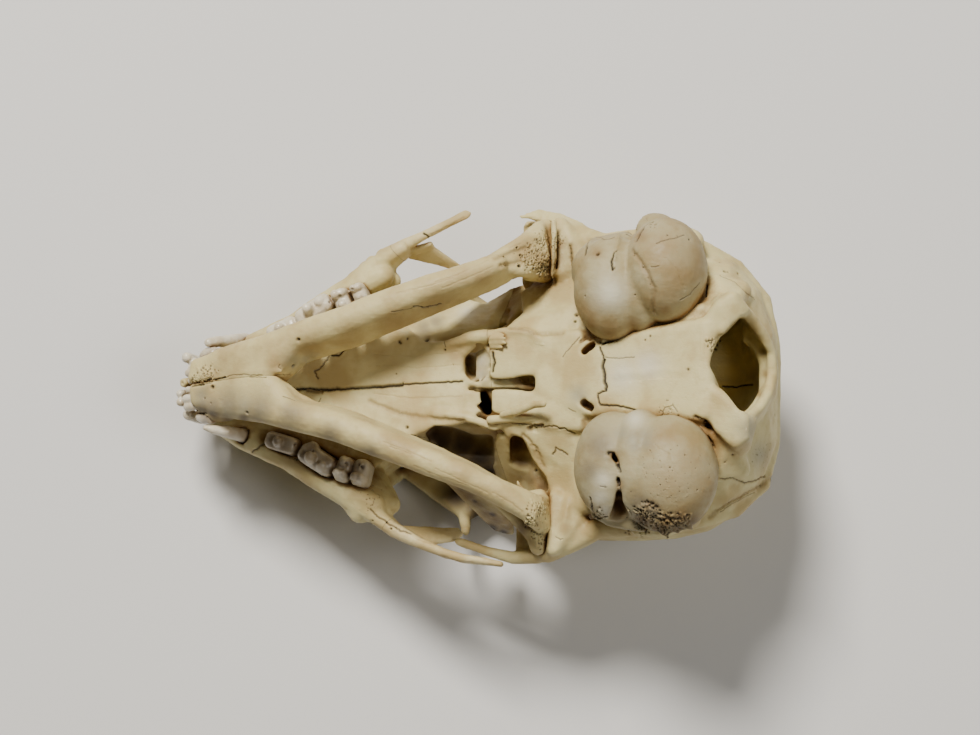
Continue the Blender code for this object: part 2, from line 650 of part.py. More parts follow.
def main():
    clear_scene()
    home = new_collection("meerkat_skull")
    face = build_face(home)
    braincase = build_braincase(home)
    bones = {"face": face, "braincase": braincase}
    colours = {"face": BONE_PALE, "braincase": BONE}
    for word, side in SIDES.items():
        bones["bulla_" + word] = build_bulla("bulla_" + word, side, home)
        bones["jugal_" + word] = build_jugal("jugal_" + word, side, home)
        bones["pterygoid_" + word] = build_pterygoid("pterygoid_" + word, side, home)
        bones["mandible_" + word] = build_mandible("mandible_" + word, side, home)
        colours["bulla_" + word] = BONE_TAN
        colours["jugal_" + word] = BONE_PALE
        colours["pterygoid_" + word] = BONE_PALE
        colours["mandible_" + word] = BONE
    cutters = new_collection("fitting cutters")
    seat(braincase, [bones["bulla_left"], bones["bulla_right"], bones["pterygoid_left"],
                     bones["pterygoid_right"], bones["jugal_right"]], SEAM_GAP, cutters)
    seat(braincase, [bones["mandible_left"], bones["mandible_right"]], JOINT_GAP, cutters)
    seat(face, [bones["pterygoid_left"], bones["pterygoid_right"]], SEAM_GAP, cutters)
    flatten_rest([braincase, face], cutters)
    remove_pieces(cutters)
    materials = {name: bone_material(name, colours[name], 0.55) for name in bones}
    finish(bones, materials)


main()
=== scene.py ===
"""The looks of a meerkat skull that lies upside down on its crown, with its lower jaw in place.

Every bone is modelled in millimetres in the skull's own frame (x back from the rear edge of the
palate, y to the animal's left, z down through the palate), then laid in its resting place.
Cracks, pits, staining and patches of painted light and shade are drawn on the bones along the
lines of sight of the photograph.
"""

from math import cos, hypot, pi, radians, sin
from random import Random

import bmesh
import bpy
import numpy as np
from mathutils import Matrix, Vector, noise
from mathutils.bvhtree import BVHTree
from mathutils.kdtree import KDTree


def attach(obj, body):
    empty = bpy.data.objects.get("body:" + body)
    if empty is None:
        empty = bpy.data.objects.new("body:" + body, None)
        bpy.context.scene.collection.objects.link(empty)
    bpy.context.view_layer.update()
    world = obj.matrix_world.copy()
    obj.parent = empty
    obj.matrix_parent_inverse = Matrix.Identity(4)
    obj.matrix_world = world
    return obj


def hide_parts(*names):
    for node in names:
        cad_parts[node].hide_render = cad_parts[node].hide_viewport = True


MM = 0.001
LEFT = 1
RIGHT = -1
SIDES = {"left": LEFT, "right": RIGHT}

# Resting pose of the skull's own frame, as in the solids.
REST_PITCH = radians(17.0)
REST_SHIFT = Vector((-0.00127, 0.00029, 0.01765))
REST = Matrix.Translation(REST_SHIFT) @ Matrix.Rotation(-REST_PITCH, 4, "Y")
UNREST = REST.inverted()

# The photograph's frame, and the camera that looks down on the palate.
PHOTO_WIDTH = 980
PHOTO_HEIGHT = 735
CAMERA_DISTANCE = 0.300
PHOTO_WIDTH_AT_TARGET = 0.1078
PIXEL = PHOTO_WIDTH_AT_TARGET / PHOTO_WIDTH
CAMERA_TARGET = Vector((0.001179, 0.00289, 0.014179))
CAMERA_ROLL = radians(11.5)
CAMERA_TURN = radians(-1.5)
CAMERA_NEAREST = 0.01
SENSOR = 36.0

# Gaps that are left between neighbouring bones, in millimetres.
SUTURE = 0.02
SEAT = 0.12
JOINT_GAP = 0.05

# Sharp cuts: sizes of the blocks, how near a plane counts as on it, and the angle of a sharp edge.
WHOLE_CUT = 90.0
SEAM_CUT = 27.4
CHEEK_CUT = 12.0
ON_PLANE = 0.002 * MM
SHARP_FROM = radians(35.0)

# Where the face is parted from the braincase, behind the sockets of the eyes, how far the forms
# reach past the seam, and a place past either end of the skull.
FACE_SEAM_X = 2.5
FACE_SEAM_Z = -8.0
SEAM_OVERLAP = 1.3
BEYOND = 99.0

# The seam between upper jaw and cheek bone on the left: a point of it, and its direction.
CHEEK_SEAM_POINT = (-8.6, 14.8, -2.0)
CHEEK_SEAM_NORMAL = (0.77, 0.64, 0.0)

# A point, x and z, of the cut that parts the halves of the lower jaw.
JAW_CUT = (-20.0, 4.0)

# Skins: size of the voxels, passes of smoothing, share of the triangles that is kept.
SKINS = {
    "cranium": (0.25 * MM, 2, 0.38),
    "face": (0.21 * MM, 2, 0.60),
    "jaw": (0.17 * MM, 3, 0.70),
    "capsule": (0.19 * MM, 4, 0.70),
    "plate": (0.13 * MM, 2, 0.80),
    "tooth": (0.11 * MM, 3, 0.80),
}
SMOOTHING = 0.5

# Squareness of the sections (2 is an ellipse, more is boxier) and the points of one.
OVAL = 2.2
BOXY = 2.55
SECTION_POINTS = 64

# Wall of the braincase, floor under the brain and highest place of the cavity.
VAULT_WALL = 1.3
VAULT_FLOOR = 3.2
CAVITY_SECTIONS = slice(5, -2)
CAVITY_TOP_OF_FLOOR = -2.6
CAVITY_FRONT_SETBACK = 1.2
CAVITY_SETBACK = 0.4
CAVITY_END = (29.6, 6.0, -9.2, -5.2)
CAVITY_DEEPEST = -9.5

# Upright sections of the brain's vault, the snout and the walls between the eyes: place along x,
# half width, crown and base.
VAULT = [
    (-8.5, 7.4, -15.2, -11.8), (-5.5, 9.4, -16.3, -11.6), (-3, 11, -17.2, -10.8), (0, 12.2, -18.3, -9.4),
    (2.5, 13.3, -19.2, -7.8), (5, 14.3, -20.1, -4.8), (8, 15.2, -20.7, -1.4), (12, 15.8, -20.8, 0.7),
    (17, 16, -20.2, 1.7), (21, 16, -19, 2.5), (25, 15.4, -17.2, 3), (28.4, 13.6, -14.9, 2.1),
    (30.7, 10.8, -13.1, -1.2), (32.2, 6.2, -11.3, -5)]
SNOUT = [
    (-31.2, 3.1, -4.8, 0.2), (-30.2, 4, -8.4, 0.3), (-28.6, 4.8, -9.75, 0.3), (-26, 5.6, -10.45, 0.2),
    (-23, 6.2, -11.1, 0), (-19.5, 7.2, -12.2, 0), (-16, 8.4, -13.2, 0), (-13, 8.8, -14.1, 0),
    (-10.5, 7.2, -14.7, 0), (-8, 5.4, -15.3, -0.2)]
EYE_WALL = [
    (-9.5, 6.2, -14.6, -0.3), (-6.5, 5, -15.8, -0.3), (-3, 4.9, -17, -0.3), (-0.6, 4.8, -17.8, -0.4),
    (0.4, 4.6, -18, -3.8), (5, 4.6, -19.4, -3.8)]
MIDDLE_WALL = [(1, 4.6, -18.2, -3.8), (5, 4.6, -19.4, -3.8), (10, 4.6, -19.4, -3.2)]

# Opening of the spinal canal: centre, direction, depth and the balls that round its corners,
# each (distance to the side, height towards the palate, radius).
CANAL_CENTRE = Vector((29.9, 0.0, 0.0))
CANAL_AXIS = Vector((0.85, 0.0, 0.52)).normalized()
CANAL_DEPTH = 5.5
CANAL_CORNERS = [(1.1, 3.3, 1.3), (4.0, 1.7, 1.3), (3.6, -1.5, 1.2), (1.6, -3.3, 1.3)]
CANAL_FLARE = (2.6, -7.6, 1.4)
CANAL_RIM_DEPTH = 2.0

# Rim of the opening for the spinal canal, seen by the camera: places at two levels.
CANAL_RIM_HIGH = [
    (28.5, -0.2), (29, 1.6), (30.3, 3.4), (31.5, 4.6), (33.8, 1.1), (33.8, -1.8), (32.4, -4),
    (31.6, -4.8), (29.6, -2.2)]
CANAL_RIM_LOW = [
    (26.3, 1.9), (26.8, 3.7), (28.3, 5.5), (29.5, 6.8), (31.9, 3.3), (31.9, 0.3), (30.4, -2.2),
    (29.7, -3), (27.5, -0.3)]
CANAL_RIM_LEVELS = (6.5, -4.0)
CANAL_RIM_BALL = 0.3

# Raised edges that run from the condyles of the neck round the opening, as the camera sees them,
# and where the wall behind them lies from them.
CANAL_EDGES = [
    [
        (744.5, 310.5, 1.8, 0.6), (753.8, 321.2, 0, 0.6), (763, 335, -1.8, 0.6),
        (771.2, 352.5, -3.6, 0.6), (772.5, 372.5, -4.2, 0.6), (770.5, 392.5, -4.4, 0.6)],
    [(770.5, 372.5, -4.4, 0.6), (769.5, 390, -3.4, 0.6), (760, 407, -1, 0.6), (748, 418, 1, 0.6)],
]
RIM_WEB = Vector((-0.5, 0.0, -2.8))

# Cheek teeth: kind, crown centre, length along the row, width, height and turn of the row in degrees.
LOWER_CHEEK_TEETH = [
    ("premolar", -23, 3.3, 1.8, 1, 1.5, 12), ("premolar", -20.6, 3.7, 2.2, 1.2, 1.9, 14),
    ("premolar", -17.8, 4.5, 2.8, 1.4, 2.2, 18), ("carnassial", -14.2, 5.5, 3.9, 1.8, 2.3, 20),
    ("molar", -10.8, 6.6, 2.4, 1.8, 1.6, 22)]
CHEEK_TEETH = {
    "upper_teeth_left": [
        ("premolar", -21.3, 6.7, 3.8, 2, 2.3, 25), ("carnassial", -17.6, 8.6, 4.6, 2.3, 3, 33),
        ("molar", -14.4, 9.7, 1.9, 2.9, 2.2, 24), ("molar", -12.5, 10.4, 1.6, 2.5, 1.9, 24)],
    "upper_teeth_right": [
        ("premolar", -20.9, 6.1, 3.9, 2, 2.3, 18), ("carnassial", -16.6, 8.1, 4.6, 2.3, 3, 33),
        ("molar", -13.5, 9.2, 1.8, 2.9, 2.2, 16), ("molar", -11.6, 9.6, 1.8, 3, 1.9, 12)],
    "lower_teeth_left": LOWER_CHEEK_TEETH,
    "lower_teeth_right": LOWER_CHEEK_TEETH,
}

# Cusps: place along and across the crown and height, as shares of its length, width and height.
CUSPS = {
    "premolar": [(-0.02, 0.02, 1), (0.3, 0, 0.55), (-0.34, 0, 0.4)],
    "carnassial": [(-0.08, 0.08, 1), (0.34, 0.14, 0.72), (-0.3, -0.34, 0.55), (-0.36, 0.14, 0.5)],
    "molar": [(-0.2, 0.3, 1), (0.24, 0.28, 0.9), (0, -0.3, 0.8)],
}

# Level of the teeth's necks in each row, and which way the crowns point.
TOOTH_NECKS = {"upper": (0.3, 1.0), "lower": (3.5, -1.0)}

# A crown: radius of its corners as a share of its narrower side, depth of its root, and, as shares
# of its height, the height of its base and of the foot of a cusp.
CORNER = 0.36
ROOT = -1.0
BASE_HEIGHT = 0.3
FOOT_HEIGHT = 0.25

# How far the cusps spread in the crown, lean inwards and narrow.
CUSP_SPREAD = 0.85
CUSP_LEAN = 0.86
CUSP_TIP = 0.72

# Space round a cheek tooth in the jaw, and how deep and how high it reaches.
SOCKET_ROOM = 0.1
SOCKET_REACH = (-0.7, 1.2)

# Front teeth as the camera sees them: balls from the root to the tip of each.
FRONT_TEETH = {
    "upper_teeth_left": [
        [(197, 360, -1.4, 0.5), (192.5, 358.6, 1.4, 0.5), (186.8, 357.6, 2.8, 0.6)],
        [(202, 364.5, -1.2, 0.5), (197, 363.8, 1.2, 0.52), (194, 363.2, 2.3, 0.6)],
        [
            (244, 341, -1.5, 0.95), (232, 341.6, 1.4, 0.82), (219, 341.6, 3.6, 0.66),
            (208.6, 342.6, 4.9, 0.5)],
    ],
    "upper_teeth_right": [
        [(193, 392.8, -1.4, 0.4), (186, 393.4, 1.2, 0.4), (180.2, 393.9, 2.4, 0.46)],
        [(195, 403.5, -1.4, 0.44), (187, 403, 1.2, 0.46), (180.8, 402.2, 2.4, 0.54)],
        [(203, 418.5, -1.4, 0.6), (195, 416.6, 1.2, 0.66), (188.8, 414.6, 2.4, 0.72)],
        [
            (245, 436, -0.6, 0.85), (238, 434.6, 1.4, 0.78), (226, 431.8, 3.2, 0.66),
            (213, 429.4, 4.4, 0.5), (205.4, 427.6, 4.9, 0.3)],
    ],
    "lower_teeth_left": [
        [(199, 374.2, 4.2, 0.45), (193, 373.6, 4.2, 0.46), (189, 373, 4, 0.5)],
        [(199, 380, 4.2, 0.34), (190.6, 380.8, 4.2, 0.36)],
        [(199, 367.6, 4, 0.4), (191.6, 368, 4, 0.42)],
        [(214, 353.8, 4.4, 0.8), (208, 353.6, 4, 0.7), (203.6, 355, 3.4, 0.5)],
    ],
    "lower_teeth_right": [
        [(198, 398, 4.2, 0.42), (191, 398.4, 4.2, 0.44), (186.8, 398.9, 3.9, 0.5)],
        [(200, 405, 4.2, 0.45), (193, 406, 4, 0.5), (188.6, 406.4, 3.7, 0.56)],
        [(197, 389.6, 4.2, 0.36), (188.6, 389.6, 4, 0.38)],
        [(211, 418.4, 4, 0.72), (205, 418.2, 3.5, 0.66), (199.8, 417.2, 3, 0.5)],
    ],
}

# Half of the lower jaw: x, then y and z of the lower border, y and z of the upper, half thickness.
JAW_BAR = {
    LEFT: [
        (-29.3, 1.9, 4.9, 1.6, 3, 1.2), (-27, 2.3, 6.3, 2.2, 3.2, 1.5), (-23.5, 2.8, 7.7, 2.5, 3.2, 1.6),
        (-20.5, 3.2, 8.5, 2.9, 3.2, 1.65), (-17.6, 4.1, 8.9, 3.5, 3.2, 1.65),
        (-11.7, 5.8, 9.1, 5.1, 3.1, 1.65), (-6.5, 7.7, 8.8, 7.1, 2.9, 1.6),
        (-2.5, 9.2, 8.2, 8.6, 2.6, 1.5), (1.5, 10.6, 7.2, 10.2, 2, 1.4), (4.4, 12, 5.9, 11.6, 1.2, 1.25)],
    RIGHT: [
        (-29.3, 1.9, 4.9, 1.6, 3, 1.2), (-27, 2.3, 6.3, 2.2, 3.2, 1.5), (-23.5, 2.8, 7.7, 2.5, 3.2, 1.6),
        (-20.5, 3.4, 8.5, 2.9, 3.2, 1.65), (-17.6, 4.2, 8.9, 3.5, 3.2, 1.65),
        (-11.7, 5.8, 9.1, 5.1, 3.1, 1.65), (-6.5, 7.8, 8.8, 7.2, 2.9, 1.6),
        (-2.5, 9.4, 8.2, 8.8, 2.6, 1.5), (1.5, 11, 7.2, 10.5, 2, 1.35), (4.4, 12.3, 5.9, 12, 1.2, 1.2)],
}

# The halves join before the chin's end: its middle, and the thickness there at both borders.
CHIN_END = -19.0
CHIN_MIDDLE = 0.6
CHIN_LOW = 0.9
CHIN_HIGH = 0.8

# Condyle of the lower jaw, which turns in the joint behind the cheek arch.
JAW_CONDYLE = [(7.9, 12.4, -1.9, 1), (8.1, 15, -2.2, 1.05), (7.8, 17.6, -2.1, 0.95)]
JAW_NECK = [(4.4, 12.4, 3.4, 1), (4.2, 12.7, -1.4, 0.7), (7.2, 13.2, -2, 0.8), (7.2, 16.4, -2, 0.8)]
JAW_JOINT = {
    LEFT: [(6.6, 11.8, 0.2, 0.7), (6.4, 13.6, 0.6, 0.7), (6.6, 15.4, 0.2, 0.6)],
    RIGHT: [(6.4, 12.6, -0.6, 0.7), (6.6, 14.2, -1, 0.6)],
}

# Chambers of the ear capsules: centre and radii, and the level at which they stop in the skull.
BULLA_CHAMBERS = {
    "left": [
        ((16.8, 9.4, 2.4), (4.2, 5.7, 4.7)),
        ((22.6, 11.0, 2.7), (4.4, 5.7, 5.2)),
        ((21.2, 15.6, 2.0), (2.4, 1.9, 2.2)),
        ((19.8, 9.6, 1.8), (3.0, 5.2, 4.6)),
    ],
    "right": [
        ((17.3, 9.8, 2.4), (4.3, 5.8, 4.7)),
        ((23.3, 10.8, 2.7), (5.1, 6.2, 5.2)),
        ((20.2, 9.8, 2.6), (3.6, 5.9, 4.8)),
    ],
}
BULLA_ROOT = -0.6

# Forms of bone, or of what is taken out of it. Each is (shape, fineness of its balls, balls), and a
# ball is (x, y away from the middle, z, radius); "seen" by the camera it is (u, v, z, radius), with
# u and v in pixels. A shaft is what the camera sees through corners (u, v, radius) between two
# levels, a strap's stations are (x, y, z, half height, radius), an ellipsoid is (centre, radii).
FORMS = {
    # Half of the palate, the bone round its cheek teeth and the root of the canine; then its rear edge.
    "palate": [
        ("hull", 2, [
            (-28.5, 2.8, -0.5, 0.7), (-24, 4.6, -0.6, 0.7), (-16, 7.2, -0.7, 0.7), (-11, 8.4, -0.7, 0.7),
            (-6.2, 5.2, -0.7, 0.6), (-28.5, -2, -0.5, 0.7), (-6.2, -4, -0.7, 0.6)]),
        ("limb", 2, [
            (-29.6, 2.9, -1.2, 1.3), (-26.2, 4.9, -0.8, 1.5), (-23.4, 6.3, -1, 1.4),
            (-20.9, 7.4, -1.2, 1.4), (-18, 9.2, -1.2, 1.5), (-15.5, 10.7, -1.2, 1.5),
            (-13.1, 11.9, -1.2, 1.6), (-10.6, 12.9, -1.2, 1.4)]),
        ("limb", 2, [(-24.6, 5.5, -0.6, 1.5), (-22.6, 5.8, -5.2, 1.3)]),
    ],
    "palate rear left": [
        ("hull", 2, [
            (-6.8, 5, -0.7, 0.6), (-1.15, 3.7, -0.7, 0.6), (-6.8, -0.4, -0.7, 0.6),
            (-1.15, 0.5, -0.7, 0.6)]),
    ],
    "palate rear right": [
        ("hull", 2, [
            (-6.8, 5, -0.7, 0.6), (-0.7, 3.7, -0.7, 0.6), (-6.8, -0.4, -0.7, 0.6),
            (-0.7, 0.5, -0.7, 0.6)]),
    ],
    # The pale wall that falls from the rear of the palate into the socket of the left eye.
    "left orbit wall": [
        ("seen hull", 2, [
            (402.8, 343.1, -1.2, 0.45), (402.8, 330, -2.4, 0.45), (417, 321.3, -3.2, 0.45),
            (421.4, 341, -1.3, 0.45)]),
        ("seen hull", 3, [
            (417, 341, -1.3, 0.45), (417, 321.3, -3.2, 0.45), (466.3, 302, -8, 0.4),
            (470.6, 310.3, -7.6, 0.4), (488.1, 309.2, -7, 0.4), (483.8, 330, -2, 0.45),
            (457.5, 340.5, -1.4, 0.45)]),
        ("seen hull", 3, [
            (485.9, 309.9, -7.2, 0.4), (479.4, 310.8, -8.2, 0.4), (492.5, 306.8, -8.8, 0.4),
            (513.3, 291.1, -9.4, 0.35), (514.8, 313.6, -6.2, 0.4), (499.1, 325.2, -3.6, 0.4),
            (485.9, 328.9, -2.2, 0.4)]),
        ("seen hull", 3, [
            (510, 292.4, -9.3, 0.35), (531.5, 284.5, -8.2, 0.35), (535.8, 288.9, -6.4, 0.5),
            (513.3, 314.7, -6.1, 0.4), (510, 326.1, -3.2, 0.4), (523.1, 312.5, -4.2, 0.5)]),
        ("seen limb", 2, [
            (418.6, 337, -1.6, 0.5), (427.3, 336.1, -1.4, 0.28), (430.2, 341, -0.9, 0.4),
            (419.2, 343.1, -0.9, 0.5)]),
    ],
    # The steep wall under the broken edge of the palate on the right, deep in shade.
    "right orbit wall": [
        ("hull", 3, [
            (-5.2, 3.6, -3, 0.5), (4.6, 4.2, -3, 0.5), (-5.2, 4.2, -9, 0.6), (4.6, 5, -9, 0.6),
            (-4.6, 7.6, -13, 0.6), (4.6, 8.6, -13, 0.6)]),
        ("seen limb", 3, [
            (500.8, 435.6, -2, 0.45), (496.9, 446.6, -3.6, 0.4), (496.9, 461.9, -6, 0.6),
            (503.5, 475, -8, 0.8), (519.9, 488.1, -10, 0.45)]),
        ("seen hull", 3, [
            (500.8, 435.6, -2, 0.4), (496.9, 461.9, -6, 0.5), (514.4, 461.9, -7, 0.6),
            (510, 437.8, -3.4, 0.5), (521, 483.8, -9, 0.6), (527.5, 464.1, -5, 0.5),
            (521, 440, -2.4, 0.5)]),
    ],
    # The rear nostrils: a curved plate on the left, a broken shelf on the right and rounded corners.
    "throat": [
        ("seen limb", 2, [
            (433.4, 345.8, -0.3, 0.4), (448.8, 344, -0.1, 0.5), (459.7, 341, 0.2, 0.6),
            (470.6, 337.5, 0.5, 0.72), (485.9, 336.1, 0.6, 0.78), (495.8, 335.5, 0.5, 0.6)]),
        ("limb", 2, [
            (-3.6, 3.2, -0.4, 0.6), (-0.6, 3.5, -0.3, 0.6), (1, 4, -0.4, 0.5), (3.2, 4.8, -0.5, 0.45)]),
        ("seen hull", 3, [
            (476.3, 354.5, -2.2, 0.28), (486.4, 349.3, -1, 0.28), (490.3, 362.8, -0.8, 0.28),
            (488.1, 376, -1.6, 0.28), (477.6, 380.8, -2.4, 0.28), (474.1, 367.2, -2.8, 0.28)]),
        ("seen hull", 2, [
            (467.4, 391.4, -0.6, 0.25), (479.4, 393.2, -0.7, 0.2), (476.3, 398, -0.7, 0.2),
            (480, 402.8, -0.7, 0.2), (467.4, 405, -0.7, 0.25)]),
        ("seen hull", 2, [
            (467.4, 402.8, -0.7, 0.25), (474.6, 406.1, -0.7, 0.2), (480, 411.6, -0.7, 0.2),
            (467.4, 414.8, -0.6, 0.3)]),
        ("seen limb", 2, [(492.5, 381.6, -1.5, 0.4), (517.7, 379.9, -1.6, 0.4)]),
        ("seen limb", 2, [
            (467.4, 385.1, -1.5, 0.4), (490.3, 385.4, -1.3, 0.42), (514.4, 385.1, -1.3, 0.45),
            (533, 387.5, -1.8, 0.42)]),
        ("seen limb", 2, [(463.6, 353, -0.5, 0.5), (466.6, 348.6, -0.4, 0.5), (473, 345.4, -0.3, 0.4)]),
        ("seen limb", 2, [(463.8, 377, -0.6, 0.4), (466.6, 381.6, -0.8, 0.4), (472, 383.6, -1, 0.35)]),
        ("seen limb", 2, [(485.5, 345, -0.3, 0.4), (489.8, 349, -0.4, 0.45), (492.2, 355, -0.5, 0.4)]),
        ("seen limb", 2, [(492, 372, -0.6, 0.4), (489, 378, -0.8, 0.4), (484, 382.4, -1, 0.35)]),
    ],
    # Plates of the base that reach forward to the rear nostrils, and the slopes beside them.
    "throat plates": [
        ("seen hull", 2, [
            (492.9, 351.5, 0.2, 0.4), (495.6, 362.8, 0.1, 0.36), (492.9, 376, 0, 0.36),
            (501.3, 377.3, 0, 0.36), (518.8, 374, 0.1, 0.4), (535.4, 368.3, 0.3, 0.4),
            (536.3, 343.1, 0.4, 0.5), (510, 333.3, 0.2, 0.5)]),
        ("seen hull", 2, [
            (518.8, 374, 0.1, 0.4), (535.4, 368.3, 0.3, 0.4), (580, 365, 0.8, 0.6),
            (580, 334.4, 0.8, 0.6), (536.3, 341, 0.4, 0.5)]),
        ("seen hull", 2, [
            (539.5, 372.7, 0.5, 0.5), (539.5, 390.8, 0.5, 0.5), (580, 365, 1, 0.7),
            (580, 408.8, 1, 0.7)]),
        ("seen hull", 2, [
            (493.8, 391.9, 0.3, 0.36), (499.5, 398.4, 0.2, 0.3), (493.8, 409.8, 0.2, 0.3),
            (505.6, 414.6, 0.3, 0.4), (523.1, 418.6, 0.3, 0.4), (536.3, 395.8, 0.4, 0.4),
            (512.2, 391.9, 0.3, 0.36)]),
        ("seen hull", 2, [
            (523.1, 418.6, 0.3, 0.4), (536.3, 395.8, 0.4, 0.4), (580, 394.1, 1, 0.6),
            (580, 427.3, 0.7, 0.6), (536.3, 422.5, 0.3, 0.5)]),
        ("seen hull", 2, [
            (501.3, 421.4, -0.6, 0.5), (523.1, 423.6, -0.4, 0.5), (531.9, 442.2, -1.6, 0.6),
            (536.3, 466.3, -3, 0.7), (566.9, 435.6, -0.2, 0.7), (566.9, 464.1, -1.6, 0.9),
            (512.2, 435.6, -1.6, 0.5)]),
        ("seen hull", 2, [
            (507.8, 331.8, -0.4, 0.5), (523.1, 332.2, -0.4, 0.5), (566.9, 332.2, 0, 0.7),
            (566.9, 312.5, -1, 0.8), (530.8, 312.5, -2.4, 0.6), (521, 321.3, -1.8, 0.5)]),
    ],
    # Holes: the broken rear edge of the palate on the right, and the hollows of the rear nostrils.
    "throat holes": [
        ("shaft", (1.4, -7.5), [
            (427.3, 433.4, 0.25), (434.5, 427.8, 0.25), (453.1, 429.1, 0.25), (472.8, 436.5, 0.25),
            (472.8, 464.1, 0.25), (435.6, 445.5, 0.25)]),
        ("shaft", (1.4, -7.5), [
            (472.8, 436.5, 0.25), (482.7, 440.9, 0.25), (491.6, 436.5, 0.25), (492.5, 464.1, 0.25),
            (472.8, 464.1, 0.25)]),
        ("seen hull", 2, [
            (468, 355.8, -1.2, 0.3), (468, 376.4, -1.2, 0.3), (471.5, 351.9, -1.6, 0.3),
            (471.5, 378.6, -1.8, 0.3), (467.6, 360.6, -3.4, 0.4), (477.2, 373.8, -4, 0.4),
            (481.6, 362.8, -3.8, 0.4)]),
        ("hull", 2, [
            (-7, 1.3, -3.2, 0.8), (-7, 2.6, -3.2, 0.8), (0.8, 1.2, -3.2, 0.9), (0.8, 2.8, -3, 0.9)]),
        ("seen hull", 2, [
            (482, 393, -1, 0.2), (488.1, 394.5, -1, 0.2), (482, 410.5, -1, 0.25), (489, 412, -1, 0.25),
            (481.6, 395.2, -8, 0.5), (489.2, 411.6, -8, 0.5)]),
    ],
    # Holes: the opening of the nose.
    "nose opening": [
        ("hull", 2, [
            (-34, 1, -5.2, 1.9), (-34, -1, -5.2, 1.9), (-26, 0.8, -5.6, 1.6), (-26, -0.8, -5.6, 1.6),
            (-33, 0, -3.6, 1.5)]),
    ],
    # The swelling and the spur before the left arch, and the wall round an empty tooth socket.
    "front of the left arch": [
        ("seen hull", 3, [
            (373.3, 263.3, -2.4, 0.9), (389.3, 263.3, -2.8, 0.7), (390.1, 277.1, -3.4, 0.7),
            (372.2, 284.1, -3.4, 0.9)]),
        ("seen limb", 3, [
            (390.1, 264.4, -2.6, 0.6), (397.3, 257.4, -2.4, 0.5), (405, 251.3, -2.4, 0.36)]),
        ("seen limb", 3, [(199, 383.6, -1.6, 0.7), (189, 383.2, 0.8, 0.6), (184, 383, 2, 0.52)]),
    ],
    # Holes: the socket of a front tooth that has fallen out.
    "empty socket": [
        ("seen limb", 2, [(198, 383.6, -1.2, 0.34), (188, 383.2, 1, 0.36), (181, 382.8, 2.6, 0.34)]),
    ],
    # The part of the upper jaw that carries the cheek bone, and the front rim of the eye socket.
    "cheek root left": [
        ("hull", 3, [
            (-14.5, 10.4, -2.4, 1.7), (-12.4, 13.4, -1.8, 1.4), (-10, 12.6, -3, 1),
            (-12.6, 8.6, -6, 1.4)]),
        ("limb", 2, [(-10.8, 11.8, -3, 1), (-12.6, 9.6, -8, 1.1), (-12.4, 7.6, -13, 1)]),
    ],
    "cheek root right": [
        ("hull", 3, [
            (-14.5, 10.4, -2.4, 1.7), (-12.4, 13.4, -1.8, 1.4), (-9.2, 12.6, -3, 1),
            (-12.6, 8.6, -6, 1.4)]),
        ("limb", 2, [(-10.8, 11.8, -3, 1), (-12.6, 9.6, -8, 1.1), (-12.4, 7.6, -13, 1)]),
    ],
    # The arch below the eye, shared by upper jaw and cheek bone, which are cut from it.
    "cheek arch left": [
        ("strap", 2, [
            (-13.4, 12.4, -1.9, 0.9, 1.25), (-10.4, 14.6, -1.9, 0.9, 1), (-8.4, 15.8, -1.8, 0.8, 0.75)]),
        ("seen limb", 3, [
            (383.1, 255.6, -1.6, 0.85), (396.3, 249.5, -1.7, 0.72), (411.6, 241.6, -1.7, 0.62),
            (429.1, 232.9, -1.6, 0.5), (446.6, 224.1, -1.4, 0.46)]),
        ("seen hull", 2, [
            (446.6, 224.1, -1.4, 0.44), (465.8, 211.4, -0.9, 0.12), (469.8, 213.2, -0.9, 0.12),
            (468, 216.7, -0.9, 0.12), (465.4, 214.5, -1.6, 0.12), (465.8, 211.4, -1.6, 0.12),
            (469.8, 213.2, -1.6, 0.12)]),
        ("seen hull", 2, [
            (402.8, 253.4, -3, 0.5), (430.2, 243.8, -2.6, 0.3), (432.3, 247.3, -3.2, 0.26),
            (405, 256.1, -3.8, 0.3)]),
        ("seen hull", 2, [
            (406.1, 255.2, -3.8, 0.3), (429.1, 246, -3, 0.28), (436.7, 252.1, -4.4, 0.18),
            (459.3, 265.5, -6, 0.16), (453.1, 268.3, -6, 0.16), (435.6, 260.9, -5, 0.2),
            (420.3, 257.4, -4.4, 0.25)]),
    ],
    "cheek arch right": [
        ("strap", 2, [
            (-13.4, 12.2, -2, 0.9, 1.3), (-10.4, 14, -1.9, 0.9, 1), (-8.2, 15.7, -1.8, 0.9, 0.8),
            (-5.2, 17.2, -1.6, 0.8, 0.6), (-2.4, 18.3, -1.3, 0.6, 0.5), (-0.3, 18.9, -1.1, 0.5, 0.45),
            (2.4, 19.3, -1, 0.35, 0.4), (4, 19.6, -1, 0.2, 0.3)]),
        ("hull", 2, [
            (-7.6, 15.4, -2.9, 0.45), (-4.8, 16.9, -2.5, 0.45), (-5.6, 15.6, -5, 0.3),
            (-2.3, 15.2, -5.4, 0.25), (-1.9, 15.7, -5.2, 0.25), (-2.4, 16.3, -4.4, 0.3)]),
    ],
    # The process of the frontal bone that borders the eye socket from behind.
    "brow": [
        ("hull", 2, [
            (-11, 7.2, -13.4, 0.8), (-7, 10.2, -12.9, 0.7), (-3.6, 12.6, -12.3, 0.6),
            (-1.8, 10.4, -13.4, 0.9), (-6, 8.2, -14.8, 0.9), (0, 9.8, -15.4, 0.9)]),
        ("limb", 2, [(-3.8, 12.5, -12.3, 0.7), (-3, 14.2, -10.6, 0.55), (-2.7, 14.7, -9.6, 0.5)]),
    ],
    # Holes: the nerve's canal through the root of the arch.
    "nerve canal": [("limb", 2, [(-17.6, 10.9, -4.6, 0.8), (-13.6, 8.8, -4.2, 0.8)])],
    # The two condyles of the neck joint.
    "left condyle": [
        ("seen hull", 3, [
